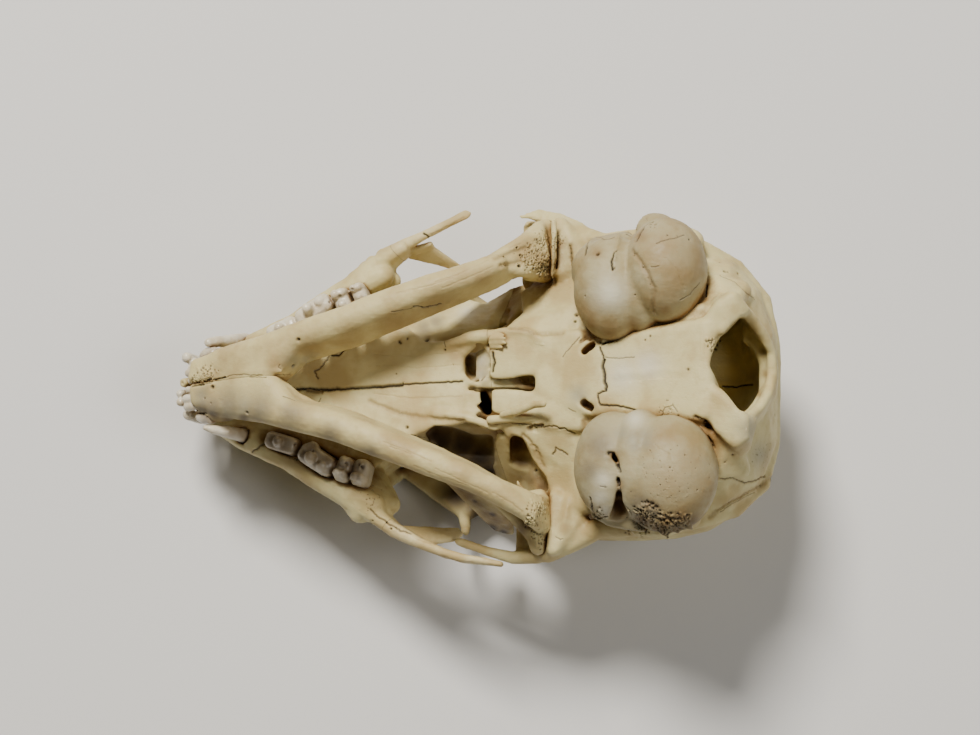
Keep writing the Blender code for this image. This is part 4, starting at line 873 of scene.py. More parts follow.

# Tones of stains and of painted light and shade: shares of dark, of brown and of grey, how far they
# take the shade of recesses away, and shares of white and of amber; then where they are, (pixel u,
# pixel v, half width in pixels). Dark and dusk are painted shade, dull is grey with painted shade,
# white is painted light, amber is a painted glow of light through the bone, and the clean tone takes
# the shade of recesses away as painted light; brown, tan and grey are stains, also painted shade in
# places.
TONES = {
    "brown": (0.0, 0.85, 0.0, 0.0, 0.0, 0.0),
    "tan": (0.0, 0.5, 0.0, 0.0, 0.0, 0.0),
    "dark": (0.95, 0.9, 0.0, 0.0, 0.0, 0.0),
    "dusk": (0.5, 0.7, 0.0, 0.0, 0.0, 0.0),
    "grey": (0.0, 0.0, 1.0, 0.0, 0.0, 0.0),
    "dull": (0.25, 0.45, 0.7, 0.0, 0.0, 0.0),
    "clean_and_lit": (0.0, 0.0, 0.0, 1.0, 0.0, 0.0),
    "white": (0.0, 0.0, 0.0, 1.0, 1.0, 0.0),
    "amber": (0.0, 0.0, 0.0, 1.0, 0.0, 1.0),
}
STAINS_AND_PAINTED_LIGHT = {
    "bulla_right_bone": [
        ("grey", [
            (622.5, 433.8, 8), (632.5, 438, 10), (643.8, 436.2, 9), (646.2, 442.5, 7), (635, 445, 7)]),
        ("brown", [(651.2, 505, 9), (680, 516.2, 10), (667.5, 520, 9), (613.8, 455, 6), (620, 485, 5)]),
        # Painted shade along the torn lower edge.
        ("dusk", [(642.5, 520, 9), (660, 530, 9), (677.5, 530, 9), (692.5, 522.5, 8)]),
        # Painted light on the lit side and the top.
        ("white", [(602.5, 480, 8), (600, 497.5, 8), (605, 510, 6), (635, 417.5, 9)]),
        # Grey darkened with painted shade.
        ("dull", [(640, 502, 9), (652, 512, 9), (600, 445, 14), (590, 470, 10)]),
        ("tan", [(672.5, 485, 28), (700, 485, 20), (665, 435, 16), (690, 460, 22), (620, 516.2, 9)]),
    ],
    "bulla_left_bone": [
        # Tan stains, and painted shade on the rear chamber and the lower side, which face away from the
        # light.
        ("tan", [
            (667.5, 245, 24), (680, 270, 26), (667.5, 295, 20), (690, 255, 18), (590, 310, 14),
            (610, 330, 14)]),
        # Brown stains, and painted shade along the lower side.
        ("brown", [
            (639.5, 235, 8), (597.5, 253.8, 5), (590, 325, 9), (610, 335, 9), (632.5, 325, 9),
            (665, 310, 8)]),
        # A painted highlight where the front chamber is lit most.
        ("white", [(610, 292.5, 14)]),
    ],
    "braincase_bones": [
        ("brown", [
            (510, 314.7, 6), (763, 352, 4), (765, 374, 4), (759, 394, 4), (565, 528, 8), (560, 245, 6)]),
        ("tan", [
            (558.1, 255.6, 10), (558.1, 277.5, 9), (512.2, 303.8, 9), (600, 545, 10), (700, 520, 12)]),
        # A painted amber glow of light through the thin bone inside the spinal canal.
        ("amber", [(730, 350, 18), (728, 370, 18), (722, 388, 14), (738, 335, 12), (744, 360, 14)]),
        ("tan", [(710, 437.5, 9), (610, 407.5, 9), (672.5, 417.5, 9)]),
        # Painted light: here the shade of recesses is taken away.
        ("clean_and_lit", [
            (492.5, 386.9, 6), (505.6, 386.5, 6), (494.7, 312.5, 8), (523.1, 299.4, 8),
            (492.5, 325.6, 6)]),
        # Painted shade in the hollow behind the right rear nostril.
        ("dusk", [(518.8, 444.4, 7), (521, 461.9, 8), (531.9, 479.4, 8), (540.6, 488.1, 6)]),
        ("tan", [(560, 520, 13), (575, 535, 12), (548, 535, 8)]),
        ("grey", [(578, 395, 10)]),
        ("brown", [(526, 381, 5), (533, 380, 4)]),
        # Painted light.
        ("white", [(622.5, 375, 16), (647.5, 365, 14)]),
        ("grey", [(750, 430, 14), (760, 455, 14)]),
    ],
    "face_bones": [
        # Painted light on the wall of the left eye socket, which lies in the jaw's shadow.
        ("clean_and_lit", [(483.8, 312.5, 12), (501.3, 308.1, 12), (488.1, 323.5, 10), (510, 299.4, 10)]),
        # Painted shadow deep under the broken right edge of the palate.
        ("dark", [
            (436, 436, 12), (442.2, 442.2, 18), (461.9, 446.6, 20), (479.4, 457.5, 20),
            (488.1, 472.8, 16), (457.5, 492.5, 18), (446.6, 510, 14), (479.4, 510, 16)]),
        # Painted shade in the left rear nostril.
        ("dusk", [(468, 365, 5), (468.4, 358.5, 4), (468.4, 373.8, 4)]),
        ("brown", [
            (339, 454, 7), (372, 475, 8), (246, 343, 7), (262, 338, 4), (300, 452, 6), (262, 438, 7),
            (285, 447, 6)]),
        # Painted light on the wall of the left eye socket.
        ("clean_and_lit", [(429.1, 332.2, 10), (440, 325.6, 14), (457.5, 316.9, 14)]),
        # Painted light on that wall and on the curved plate in the left rear nostril.
        ("white", [(468.4, 312.5, 10), (481.6, 360.6, 9), (481.6, 373.8, 7)]),
        # Painted shade in grey on that wall.
        ("dull", [(424, 328, 9), (436, 322, 8)]),
        # Painted light between the rear nostrils.
        ("clean_and_lit", [(475, 385.4, 6)]),
        ("tan", [
            (391.9, 365, 18), (424.7, 360.6, 16), (453.1, 356.3, 12), (383.1, 356.3, 14),
            (383.1, 391.9, 12)]),
    ],
    "mandible_right_bone": [
        # Painted shade on the blade for the chewing muscle, which faces away from the light.
        ("dusk", [
            (461.9, 489.2, 9), (469.5, 495.8, 10), (478.3, 504.5, 11), (487, 513.3, 11), (495.8, 521, 10),
            (504.5, 528.6, 9)]),
        # Painted shade in grey on the front of the chin, which slopes away from the light.
        ("dull", [
            (230, 402, 15), (258, 408, 15), (290, 416, 13), (214, 409, 12), (330, 434, 10),
            (370, 452, 9)]),
        # Painted shadow on the blade and under the bar of the jaw.
        ("dark", [
            (454.2, 492.5, 7), (464.1, 501.3, 9), (472.8, 510, 10), (483.8, 521, 10), (492.5, 527.5, 9),
            (503.5, 531.9, 7), (492.5, 514.4, 5), (475, 501.3, 4)]),
        # Painted shade along the lower edge of the chin and by the jaw's rear end.
        ("dusk", [
            (521, 530.8, 8), (435.6, 483.8, 5), (202.9, 411.1, 8), (212.4, 415, 7), (228.2, 420.5, 7),
            (244, 419, 6)]),
        # Painted shade in grey on the chin.
        ("grey", [
            (202.9, 403.2, 10), (212.4, 407.9, 12), (201.3, 395.3, 8), (228.2, 407.9, 16),
            (244, 407.9, 14), (259.7, 411.1, 12)]),
        ("tan", [(461.9, 479.4, 16), (396.3, 442.2, 14), (479.4, 492.5, 14)]),
    ],
    "mandible_left_bone": [
        ("tan", [
            (540.6, 262.2, 12), (521, 255.6, 12), (435.6, 300.8, 18), (479.4, 275.8, 14), (400, 318, 16),
            (350, 330, 14), (310, 345, 12)]),
        ("grey", [(294.5, 362.1, 10), (307.1, 362.1, 10)]),
        # Painted shade at the rear end of the jaw.
        ("dusk", [(549, 268, 6), (547, 278, 5)]),
        ("tan", [(212.4, 376.3, 10), (275.5, 362.1, 10)]),
    ],
    "upper_teeth_right": [
        # Painted shade: these teeth lie in the shadow of the lower jaw.
        ("dusk", [(280.1, 441.3, 16), (328.8, 460, 16), (312, 450, 16), (352, 470, 14)]),
        ("brown", [(241.6, 436.2, 7), (232, 434, 6)]),
    ],
    "upper_teeth_left": [
        ("brown", [(246, 341, 6)]),
        # Painted shade beside the last cheek tooth.
        ("dusk", [(363.4, 303.8, 5)]),
    ],
    # Painted shade on the canine.
    "lower_teeth_right": [("dusk", [(206, 418, 7)])],
    "lower_teeth_left": [("brown", [(212, 353, 6), (191, 375, 4)])],
}

# How far apart drawn samples lie, how fine the mesh is made beside them and in how many steps.
SAMPLE_STEP = 0.05 * MM
LINE_DETAIL = (0.085 * MM, 5)
STAIN_AND_LIGHT_DETAIL = (0.5 * MM, 3)

# How far beside a mark the mesh is made finer, in half widths and in lengths of its own edges.
REFINED_WIDTHS = 1.6
REFINED_EDGES = 0.5

# Reach of a mark and of its brown halo in half widths, how flat stains and patches of painted light and
# shade are pressed along the line of sight, and how many of them may meet.
MARK_REACH = 3.0
HALO = 1.6
STAIN_AND_LIGHT_DEPTH_SHARE = 0.72
PATCHES_THAT_MEET = 5

# Wander of a drawn line, slow and fine: turns per pixel and place in the noise, and the fine one's share.
SLOW_WANDER = (0.16, 3.1)
FINE_WANDER = (0.5, 7.7)
FINE_WANDER_SHARE = 0.5

# Relief of the bone: height in millimetres, turns per millimetre, place in the noise, and the
# fractal's fall, step and layers.
SWELL = (0.07, 0.42, Vector((0.0, 0.0, 0.0)), (1.0, 2.2, 3))
GRAIN = (0.022, 2.3, Vector((11.0, 5.0, 2.0)), (0.9, 2.1, 3))

# Shade of recesses, painted into the colour as patina and as painted shade: cones of rays (tilt in
# degrees, rays, turn of the first), their start and reach, how fast bone far away counts less, and
# passes that even it out.
RAY_CONES = ((22.0, 3, 0.4), (48.0, 5, 0.0), (70.0, 4, 0.2))
RAY_START = 0.05 * MM
RECESS_REACH = 6.5 * MM
RECESS_FALL = 0.7
RECESS_PASSES = 3

# Colours of each kind of bone: pale, tan and brown; the brown also paints the shade of recesses,
# which is patina and painted shade.
PALETTE = {
    "cranium_bone": ((0.655, 0.57, 0.285), (0.51, 0.395, 0.175), (0.27, 0.15, 0.045)),
    "ear_capsule_bone": ((0.43, 0.375, 0.215), (0.34, 0.26, 0.12), (0.25, 0.14, 0.045)),
    "cheek_bone": ((0.64, 0.54, 0.29), (0.49, 0.37, 0.165), (0.27, 0.15, 0.045)),
    "jaw_bone": ((0.63, 0.53, 0.255), (0.49, 0.375, 0.17), (0.27, 0.15, 0.045)),
}
DEEP_SHADE = (0.08, 0.04, 0.012)
GREY_STAIN_AND_SHADE = (0.30, 0.275, 0.19)
WHITE_PAINTED_LIGHT = (0.68, 0.64, 0.49)
AMBER_PAINTED_GLOW = (0.90, 0.68, 0.22)
CRACK_AND_PAINTED_SHADOW = (0.022, 0.011, 0.005)
ENAMEL = (0.72, 0.66, 0.52)
IVORY = (0.58, 0.49, 0.33)
TOOTH_SHADE = (0.24, 0.15, 0.07)
TOOTH_STAIN_AND_SHADE = (0.26, 0.16, 0.08)
TOOTH_HOLE_AND_SHADOW = (0.075, 0.045, 0.02)
FLOOR_TONES = ((0.70, 0.69, 0.67), (0.74, 0.73, 0.71))

# Noises of the materials: cells per metre, layers and roughness.
CLOUDS = (230.0, 3.0, 0.5)
MOTTLE = (1300.0, 5.0, 0.6)
STREAKS = (900.0, 4.0, 0.6)
STREAK_STRETCH = (0.25, 1.6, 1.6)
FINE_GRAIN = (4200.0, 4.0, 0.6)
PORES_PER_METRE = 1500.0
TOOTH_CLOUDS = (700.0, 4.0, 0.6)
TOOTH_GRAIN = (2500.0, 3.0, 0.5)
FLOOR_CLOUDS = (9.0, 3.0, 0.5)

# Smooth steps: from and to in the value, and in the result where that isn't 0 and 1.
CLOUD_STEP = (0.40, 0.66)
MOTTLE_STEP = (0.5, 0.75, 0.0, 0.4)
SHADE_STEP = (0.24, 0.64)
DEEP_STEP = (0.55, 0.95, 0.0, 0.85)
ROUGHNESS_STEP = (0.3, 0.7, 0.48, 0.68)
PORE_STEP = (0.05, 0.22)
TOOTH_CLOUD_STEP = (0.35, 0.7)
TOOTH_SHADE_STEP = (0.25, 0.75)

# Strength of the stains and of the painted light and shade in the bone, of the brown stains and painted
# shade in the teeth, and of the mottle's unevenness in the shade of recesses, which has the mottle's
# middle at this value.
BROWN_SHARE = 0.8
GREY_SHARE = 0.7
WHITE_SHARE = 0.75
AMBER_SHARE = 0.85
TOOTH_STAIN_AND_SHADE_SHARE = 0.6
UNEVENNESS = 0.25
MOTTLE_MIDDLE = 0.5

# Bumps: height and strength.
STREAK_BUMP = (0.10 * MM, 0.5)
GRAIN_BUMP = (0.04 * MM, 0.5)
PORE_BUMP = (0.03 * MM, 0.3)
TOOTH_BUMP = (0.02 * MM, 0.5)

# Settings of the shaders.
BONE_SHADER = {
    "Specular IOR Level": 0.35,
    "Subsurface Weight": 0.12,
    "Subsurface Radius": (1.0, 0.6, 0.35),
    "Subsurface Scale": 0.5 * MM,
}
TOOTH_SHADER = {
    "Roughness": 0.34,
    "Coat Weight": 0.25,
    "Coat Roughness": 0.2,
    "Subsurface Weight": 0.15,
    "Subsurface Radius": (1.0, 0.8, 0.6),
    "Subsurface Scale": 0.4 * MM,
}
FLOOR_SHADER = {"Roughness": 0.9}

# The stage: a round floor, the room's light, and two lamps (place, width, power, colour) that
# look at the skull.
FLOOR_RADIUS = 1.5
FLOOR_POINTS = 96
ROOM = {"Color": (1.0, 0.98, 0.94, 1.0), "Strength": 0.05}
LAMP_AIM = Vector((0.0, 0.0, 0.01))
LAMPS = {
    "key": (Vector((-0.12, 0.26, 0.44)), 0.15, 4.2, (1.0, 0.96, 0.89)),
    "fill": (Vector((0.35, -0.10, 0.50)), 0.30, 1.2, (1.0, 0.98, 0.94)),
}


class Sight:
    """The camera's place and axes, and the line of sight through a pixel of the photograph."""

    def __init__(self):
        toward = Vector((0.0, -sin(CAMERA_ROLL), cos(CAMERA_ROLL)))
        level_up = Vector((0.0, cos(CAMERA_ROLL), sin(CAMERA_ROLL)))
        level_right = Vector((1.0, 0.0, 0.0))
        self.right = level_right * cos(CAMERA_TURN) - level_up * sin(CAMERA_TURN)
        self.up = level_right * sin(CAMERA_TURN) + level_up * cos(CAMERA_TURN)
        self.toward = toward
        self.place = CAMERA_TARGET + toward * CAMERA_DISTANCE
        self.pixels = PHOTO_WIDTH * CAMERA_DISTANCE / PHOTO_WIDTH_AT_TARGET

    def line(self, u, v):
        across = (u - PHOTO_WIDTH / 2.0) / self.pixels
        upward = (PHOTO_HEIGHT / 2.0 - v) / self.pixels
        return (self.right * across + self.up * upward - self.toward).normalized()


SIGHT = Sight()


def seen(marks):
    """Balls (x, y, z, radius) from what the camera sees: each (pixel u, pixel v, z, radius)."""
    start = UNREST @ SIGHT.place
    turn = UNREST.to_3x3()
    balls = []
    for u, v, z, radius in marks:
        direction = turn @ SIGHT.line(u, v)
        place = start + direction * ((z * MM - start.z) / direction.z)
        balls.append((place.x / MM, place.y / MM, z, radius))
    return balls


def new_object(name, mesh):
    piece = bpy.data.objects.new(name, mesh)
    bpy.context.scene.collection.objects.link(piece)
    return piece


def swollen(balls, gap):
    """The same balls, each larger by the gap."""
    return [(*ball[:-1], ball[-1] + gap) for ball in balls]


def between(stations, start, end):
    """The stations from start to end along x, with new ones where the two planes cut them."""
    kept = []
    for before, after in zip(stations, stations[1:]):
        for plane in (start, end):
            if before[0] < plane < after[0]:
                share = (plane - before[0]) / (after[0] - before[0])
                kept.append(tuple(a + (b - a) * share for a, b in zip(before, after)))
    kept += [station for station in stations if start <= station[0] <= end]
    return sorted(kept)


class Clay:
    """Closed lumps of bone that overlap freely; a voxel skin melts them together."""

    def __init__(self):
        self.lumps = bmesh.new()

    def take(self, lump):
        bmesh.ops.recalc_face_normals(lump, faces=lump.faces)
        mesh = bpy.data.meshes.new("lump")
        lump.to_mesh(mesh)
        lump.free()
        self.lumps.from_mesh(mesh)
        bpy.data.meshes.remove(mesh)

    def lay(self, name, side=LEFT):
        """Add the named forms on one side; those that the camera sees have their own."""
        for shape, fineness, balls in FORMS[name]:
            if shape == "shaft":
                ends = [(u, v, level, radius) for u, v, radius in balls for level in fineness]
                self.hull(LEFT, seen(ends))
            elif shape.startswith("seen "):
                getattr(self, shape.removeprefix("seen "))(LEFT, seen(balls), fineness)
            else:
                getattr(self, shape)(side, balls, fineness)

    def hull(self, side, balls, detail=2):
        """Skin a set of balls, each (x, y, z, radius), with their convex hull."""
        lump = bmesh.new()
        for x, y, z, radius in balls:
            place = Matrix.Translation(Vector((x, y * side, z)) * MM)
            bmesh.ops.create_icosphere(lump, subdivisions=detail, radius=radius * MM, matrix=place)
        bmesh.ops.delete(lump, geom=lump.edges[:], context="EDGES_FACES")
        wrap = bmesh.ops.convex_hull(lump, input=lump.verts[:])
        spare = {item for item in wrap["geom_interior"] if isinstance(item, bmesh.types.BMVert)}
        bmesh.ops.delete(lump, geom=list(spare), context="VERTS")
        self.take(lump)

    def limb(self, side, balls, detail=2):
        """A rod of changing thickness, one hull for each stretch."""
        for start, end in zip(balls, balls[1:]):
            self.hull(side, [start, end], detail)

    def spots(self, side, balls, detail=2):
        """Balls that stay single."""
        for ball in balls:
            self.hull(side, [ball], detail)

    def strap(self, side, stations, detail=2):
        """A flat rod on edge: each station is (x, y, z, half height, radius)."""
        for start, end in zip(stations, stations[1:]):
            balls = []
            for x, y, z, half_height, radius in (start, end):
                balls.append((x, y, z - half_height, radius))
                balls.append((x, y, z + half_height, radius))
            self.hull(side, balls, detail)

    def ellipsoid(self, side, ball, detail=4, floor=None):
        """A stretched ball (centre, radii), flattened where it would go deeper than the floor."""
        (x, y, z), radii = ball
        lump = bmesh.new()
        place = Matrix.Translation(Vector((x, y * side, z)) * MM)
        stretch = Matrix.Diagonal((*radii, 1.0 / MM)) * MM
        bmesh.ops.create_icosphere(lump, subdivisions=detail, radius=1.0, matrix=place @ stretch)
        if floor is not None:
            for vert in lump.verts:
                vert.co.z = max(vert.co.z, floor * MM)
        self.take(lump)

    def loft(self, sections, squareness):
        """Bridge upright oval sections, each (x, half width, top, base)."""
        lump = bmesh.new()
        rings = []
        for x, half_width, top, base in sections:
            ring = bmesh.ops.create_circle(lump, segments=SECTION_POINTS, radius=1.0)["verts"]
            for index, vert in enumerate(ring):
                angle = 2.0 * pi * index / SECTION_POINTS
                across = abs(cos(angle)) ** (2.0 / squareness) * (1 if cos(angle) > 0 else -1)
                upward = abs(sin(angle)) ** (2.0 / squareness) * (1 if sin(angle) > 0 else -1)
                height = (base + top) / 2.0 + upward * (base - top) / 2.0
                vert.co = Vector((x, half_width * across, height)) * MM
            rings.append(ring)
        for ring, following in zip(rings, rings[1:]):
            pair = set(ring) | set(following)
            edges = [edge for edge in lump.edges if all(vert in pair for vert in edge.verts)]
            bmesh.ops.bridge_loops(lump, edges=edges)
        for ring in (rings[0], rings[-1]):
            bmesh.ops.contextual_create(lump, geom=ring)
        self.take(lump)

    def block(self, point, normal, size):
        """Fill the side of a plane that its normal points to."""
        lump = bmesh.new()
        bmesh.ops.create_cube(lump, size=size * MM)
        direction = Vector(normal).normalized()
        turn = direction.to_track_quat("Z", "Y").to_matrix().to_4x4()
        centre = Vector(point) * MM + direction * (size * MM / 2.0)
        bmesh.ops.transform(lump, matrix=Matrix.Translation(centre) @ turn, verts=lump.verts)
        self.take(lump)

    def keep_to_side(self, side, gap):
        """Press what crosses the middle plane flat against it."""
        for vert in self.lumps.verts:
            vert.co.y = side * max(vert.co.y * side, gap * MM)

    def mesh(self, name):
        mesh = bpy.data.meshes.new(name)
        self.lumps.to_mesh(mesh)
        self.lumps.free()
        return mesh


def modifier(piece, kind, **settings):
    made = piece.modifiers.new(kind.lower(), kind)
    for key, value in settings.items():
        setattr(made, key, value)


def apply_modifiers(piece):
    graph = bpy.context.evaluated_depsgraph_get()
    mesh = bpy.data.meshes.new_from_object(piece.evaluated_get(graph))
    piece.modifiers.clear()
    piece.data = mesh


def keep_largest_body(piece):
    """Drop the scraps that a cut leaves behind."""
    bm = bmesh.new()
    bm.from_mesh(piece.data)
    unseen = set(bm.verts)
    bodies = []
    while unseen:
        search = [unseen.pop()]
        body = list(search)
        while search:
            vert = search.pop()
            for edge in vert.link_edges:
                other = edge.other_vert(vert)
                if other in unseen:
                    unseen.remove(other)
                    body.append(other)
                    search.append(other)
        bodies.append(body)
    bodies.sort(key=len, reverse=True)
    scraps = [vert for body in bodies[1:] for vert in body]
    bmesh.ops.delete(bm, geom=scraps, context="VERTS")
    bm.to_mesh(piece.data)
    bm.free()


def mesh_arrays(mesh):
    """Places and normals of the vertices, and the edges between them."""
    count = len(mesh.vertices)
    places = np.empty(count * 3)
    normals = np.empty(count * 3)
    edges = np.empty(len(mesh.edges) * 2, dtype=int)
    mesh.vertices.foreach_get("co", places)
    mesh.vertices.foreach_get("normal", normals)
    mesh.edges.foreach_get("vertices", edges)
    return places.reshape(-1, 3), normals.reshape(-1, 3), edges.reshape(-1, 2)


def relief(place):
    """The slow swell and the fine grain of a bone's surface, in millimetres."""
    at = place / MM
    height = 0.0
    for size, turns, shift, settings in (SWELL, GRAIN):
        height += noise.fractal(at * turns + shift, *settings) * size
    return height


def roughen(piece):
    """Give the skin the slow swell and the fine grain of old bone."""
    places, normals, _ = mesh_arrays(piece.data)
    heights = np.array([relief(Vector(place)) for place in places]) * MM
    places += normals * heights[:, None]
    piece.data.vertices.foreach_set("co", places.ravel())
    piece.data.update()


def cut_sharp(piece, point, normal, size):
    """Take away the side of a plane that its normal points to, and keep the new edge sharp."""
    tool = Clay()
    tool.block(point, normal, size)
    cutter = new_object("cut", tool.mesh("cut"))
    modifier(piece, "BOOLEAN", operation="DIFFERENCE", object=cutter, solver="MANIFOLD")
    apply_modifiers(piece)
    bpy.data.objects.remove(cutter)
    bm = bmesh.new()
    bm.from_mesh(piece.data)
    direction = Vector(normal).normalized()
    centre = Vector(point) * MM
    for edge in bm.edges:
        on_plane = all(abs((vert.co - centre).dot(direction)) < ON_PLANE for vert in edge.verts)
        if on_plane and len(edge.link_faces) == 2 and edge.calc_face_angle() > SHARP_FROM:
            edge.smooth = False
    bm.to_mesh(piece.data)
    bm.free()


def skin(name, clay, kind, holes=None, whole=True, cuts=()):
    """Melt clay into one smooth skin, take the holes out of it, and lay it in its resting place."""
    voxel, smoothing, kept = SKINS[kind]
    piece = new_object(name, clay.mesh(name))
    modifier(piece, "REMESH", mode="VOXEL", voxel_size=voxel)
    if holes is not None:
        cutter = new_object("holes", holes.mesh("holes"))
        modifier(cutter, "REMESH", mode="VOXEL", voxel_size=voxel)
        apply_modifiers(cutter)
        modifier(piece, "BOOLEAN", operation="DIFFERENCE", object=cutter, solver="MANIFOLD")
        modifier(piece, "REMESH", mode="VOXEL", voxel_size=voxel)
    modifier(piece, "SMOOTH", factor=SMOOTHING, iterations=smoothing)
    modifier(piece, "DECIMATE", ratio=kept)
    apply_modifiers(piece)
    if holes is not None:
        bpy.data.objects.remove(cutter)
    roughen(piece)
    for cut in cuts:
        cut_sharp(piece, *cut)
    if whole:
        keep_largest_body(piece)
    piece.data.transform(REST)
    return piece


def crown(clay, side, tooth, neck, down):
    """A cheek tooth: a rounded base rooted in the jaw, and a rounded lobe for each cusp."""
    kind, x, y, length, width, height, turn = tooth
    angle = radians(turn)
    along = Vector((cos(angle), sin(angle), 0.0))
    across = Vector((-sin(angle), cos(angle), 0.0))
    corner = min(length, width) * CORNER
    base = []
    for end in (-1.0, 1.0):
        for flank in (-1.0, 1.0):
            place = along * end * (length / 2.0 - corner) + across * flank * (width / 2.0 - corner)
            for depth in (ROOT, height * BASE_HEIGHT):
                base.append((x + place.x, y + place.y, neck + down * depth, corner))
    clay.hull(side, base)
    for forward, outward, share in CUSPS[kind]:
        foot = along * forward * length * CUSP_SPREAD + across * outward * width * CUSP_SPREAD
        top = foot * CUSP_LEAN
        radius = corner * CUSP_TIP
        low = neck + down * height * FOOT_HEIGHT
        high = neck + down * (height * share - radius)
        clay.hull(side, [(x + foot.x, y + foot.y, low, corner), (x + top.x, y + top.y, high, radius)], 3)


def socket(clay, side, tooth, neck, down):
    """The space round a cheek tooth in the edge of the jaw."""
    _, x, y, length, width, _, turn = tooth
    angle = radians(turn)
    along = Vector((cos(angle), sin(angle), 0.0))
    corner = min(length, width) / 2.0 + SOCKET_ROOM
    reach = max(length / 2.0 + SOCKET_ROOM - corner, 0.0)
    balls = []
    for end in (-reach, reach):
        for depth in SOCKET_REACH:
            balls.append((x + along.x * end, y + along.y * end, neck + down * depth, corner))
    clay.hull(side, balls)


def seat_front_teeth(holes, name):
    """The spaces round the roots of the front teeth."""
    for tooth in FRONT_TEETH[name]:
        holes.limb(LEFT, seen(swollen(tooth[:2], SEAT)))


def seat_cheek_teeth(holes, name, side, neck):
    for tooth in CHEEK_TEETH[name]:
        socket(holes, side, tooth, *neck)


def eye_sockets_and_throat(clay, holes):
    """What crosses the seam between face and braincase; both bones are cut from it."""
    for name in ("left orbit wall", "right orbit wall", "throat", "throat plates"):
        clay.lay(name, RIGHT)
    holes.lay("throat holes", RIGHT)


def face_seam(direction):
    """The cut behind (1) or in front of (-1) the seam between face and braincase."""
    return (FACE_SEAM_X - SUTURE * direction, 0.0, FACE_SEAM_Z), (direction, 0.0, 0.0), SEAM_CUT


def cheek_seam(side, direction):
    """The cut behind (1) or in front of (-1) the oblique seam between upper jaw and cheek bone."""
    x, y, z = CHEEK_SEAM_NORMAL
    normal = Vector((x, y * side, z)).normalized() * direction
    x, y, z = CHEEK_SEAM_POINT
    point = Vector((x, y * side, z)) + normal * (-SUTURE)
    return point, normal, CHEEK_CUT


def make_face():
    clay = Clay()
    holes = Clay()
    clay.loft(SNOUT, BOXY)
    clay.loft(between(EYE_WALL, -BEYOND, FACE_SEAM_X + SEAM_OVERLAP), BOXY)
    clay.loft(between(VAULT, -BEYOND, FACE_SEAM_X + SEAM_OVERLAP), OVAL)
    for side in SIDES.values():
        clay.lay("palate", side)
    for word, side in SIDES.items():
        clay.lay("palate rear " + word, side)
    eye_sockets_and_throat(clay, holes)
    holes.lay("nose opening")
    clay.lay("front of the left arch")
    holes.lay("empty socket")
    cuts = [face_seam(1.0)]
    for word, side in SIDES.items():
        clay.lay("cheek root " + word, side)
        clay.lay("cheek arch " + word, side)
        clay.lay("brow", side)
        holes.lay("nerve canal", side)
        seat_cheek_teeth(holes, "upper_teeth_" + word, side, TOOTH_NECKS["upper"])
        seat_front_teeth(holes, "upper_teeth_" + word)
        cuts.append(cheek_seam(side, 1.0))
    return skin("face_bones", clay, "face", holes, cuts=cuts)


def make_cheek_bone(word):
    side = SIDES[word]
    clay = Clay()
    clay.lay("cheek arch " + word, side)
    return skin(f"jugal_{word}_bone", clay, "plate", cuts=[cheek_seam(side, -1.0)])


def canal_corners(along):
    """The balls at the corners of the spinal canal, at a distance along its tunnel."""
    up = Vector((-CANAL_AXIS.z, 0.0, CANAL_AXIS.x))
    balls = []
    for across, lift, radius in CANAL_CORNERS:
        place = CANAL_CENTRE + CANAL_AXIS * along + up * lift
        balls.append((place.x, across, place.z, radius))
        balls.append((place.x, -across, place.z, radius))
    return balls


def canal_rim():
    """The balls that cut the opening's edge along the camera's lines of sight."""
    balls = []
    for rim, level in zip((CANAL_RIM_HIGH, CANAL_RIM_LOW), CANAL_RIM_LEVELS):
        balls += [(x, y, level, CANAL_RIM_BALL) for x, y in rim]
    return balls


def brain_cavity(clay):
    """The space for the brain and the canal that opens it to the back of the skull."""
    sections = []
    for x, half_width, top, base in VAULT[CAVITY_SECTIONS]:
        setback = CAVITY_SETBACK if sections else CAVITY_FRONT_SETBACK
        sections.append((x + setback, half_width - VAULT_WALL, max(top + VAULT_WALL, CAVITY_DEEPEST),
                         min(base - VAULT_FLOOR, CAVITY_TOP_OF_FLOOR)))
    sections.append(CAVITY_END)
    clay.loft(sections, OVAL)
    clay.hull(LEFT, canal_rim())
    across, height, radius = CANAL_FLARE
    flare = [(CANAL_CENTRE.x, sideways, height, radius) for sideways in (across, -across)]
    clay.hull(LEFT, canal_corners(-CANAL_DEPTH) + canal_corners(-CANAL_RIM_DEPTH) + flare)


def neck_condyles(clay):
    """The condyles of the neck joint and the raised edges of the opening, with the wall behind them."""
    clay.lay("left condyle")
    for rim in CANAL_EDGES:
        edge = seen(rim)
        clay.limb(LEFT, edge, 3)
        for near, far in zip(edge, edge[1:]):
            web = [(x + RIM_WEB.x, y, z + RIM_WEB.z, radius) for x, y, z, radius in (near, far)]
            clay.hull(LEFT, [near, far] + web, 3)
    clay.lay("right condyle")


def make_braincase():
    clay = Clay()
    holes = Clay()
    clay.loft(between(VAULT, FACE_SEAM_X - SEAM_OVERLAP, BEYOND), OVAL)
    clay.loft(between(MIDDLE_WALL, FACE_SEAM_X - SEAM_OVERLAP, BEYOND), BOXY)
    brain_cavity(holes)
    eye_sockets_and_throat(clay, holes)
    neck_condyles(clay)
    for word, side in SIDES.items():
        clay.lay("base", side)
        clay.lay("cheek process " + word, side)
        holes.lay("base slit", side)
        holes.hull(side, swollen(JAW_JOINT[side] + JAW_CONDYLE, JOINT_GAP))
        holes.hull(side, swollen(JAW_NECK, SEAT))
    clay.lay("base edges")
    holes.lay("base openings", RIGHT)
    return skin("braincase_bones", clay, "cranium", holes, cuts=[face_seam(-1.0)])


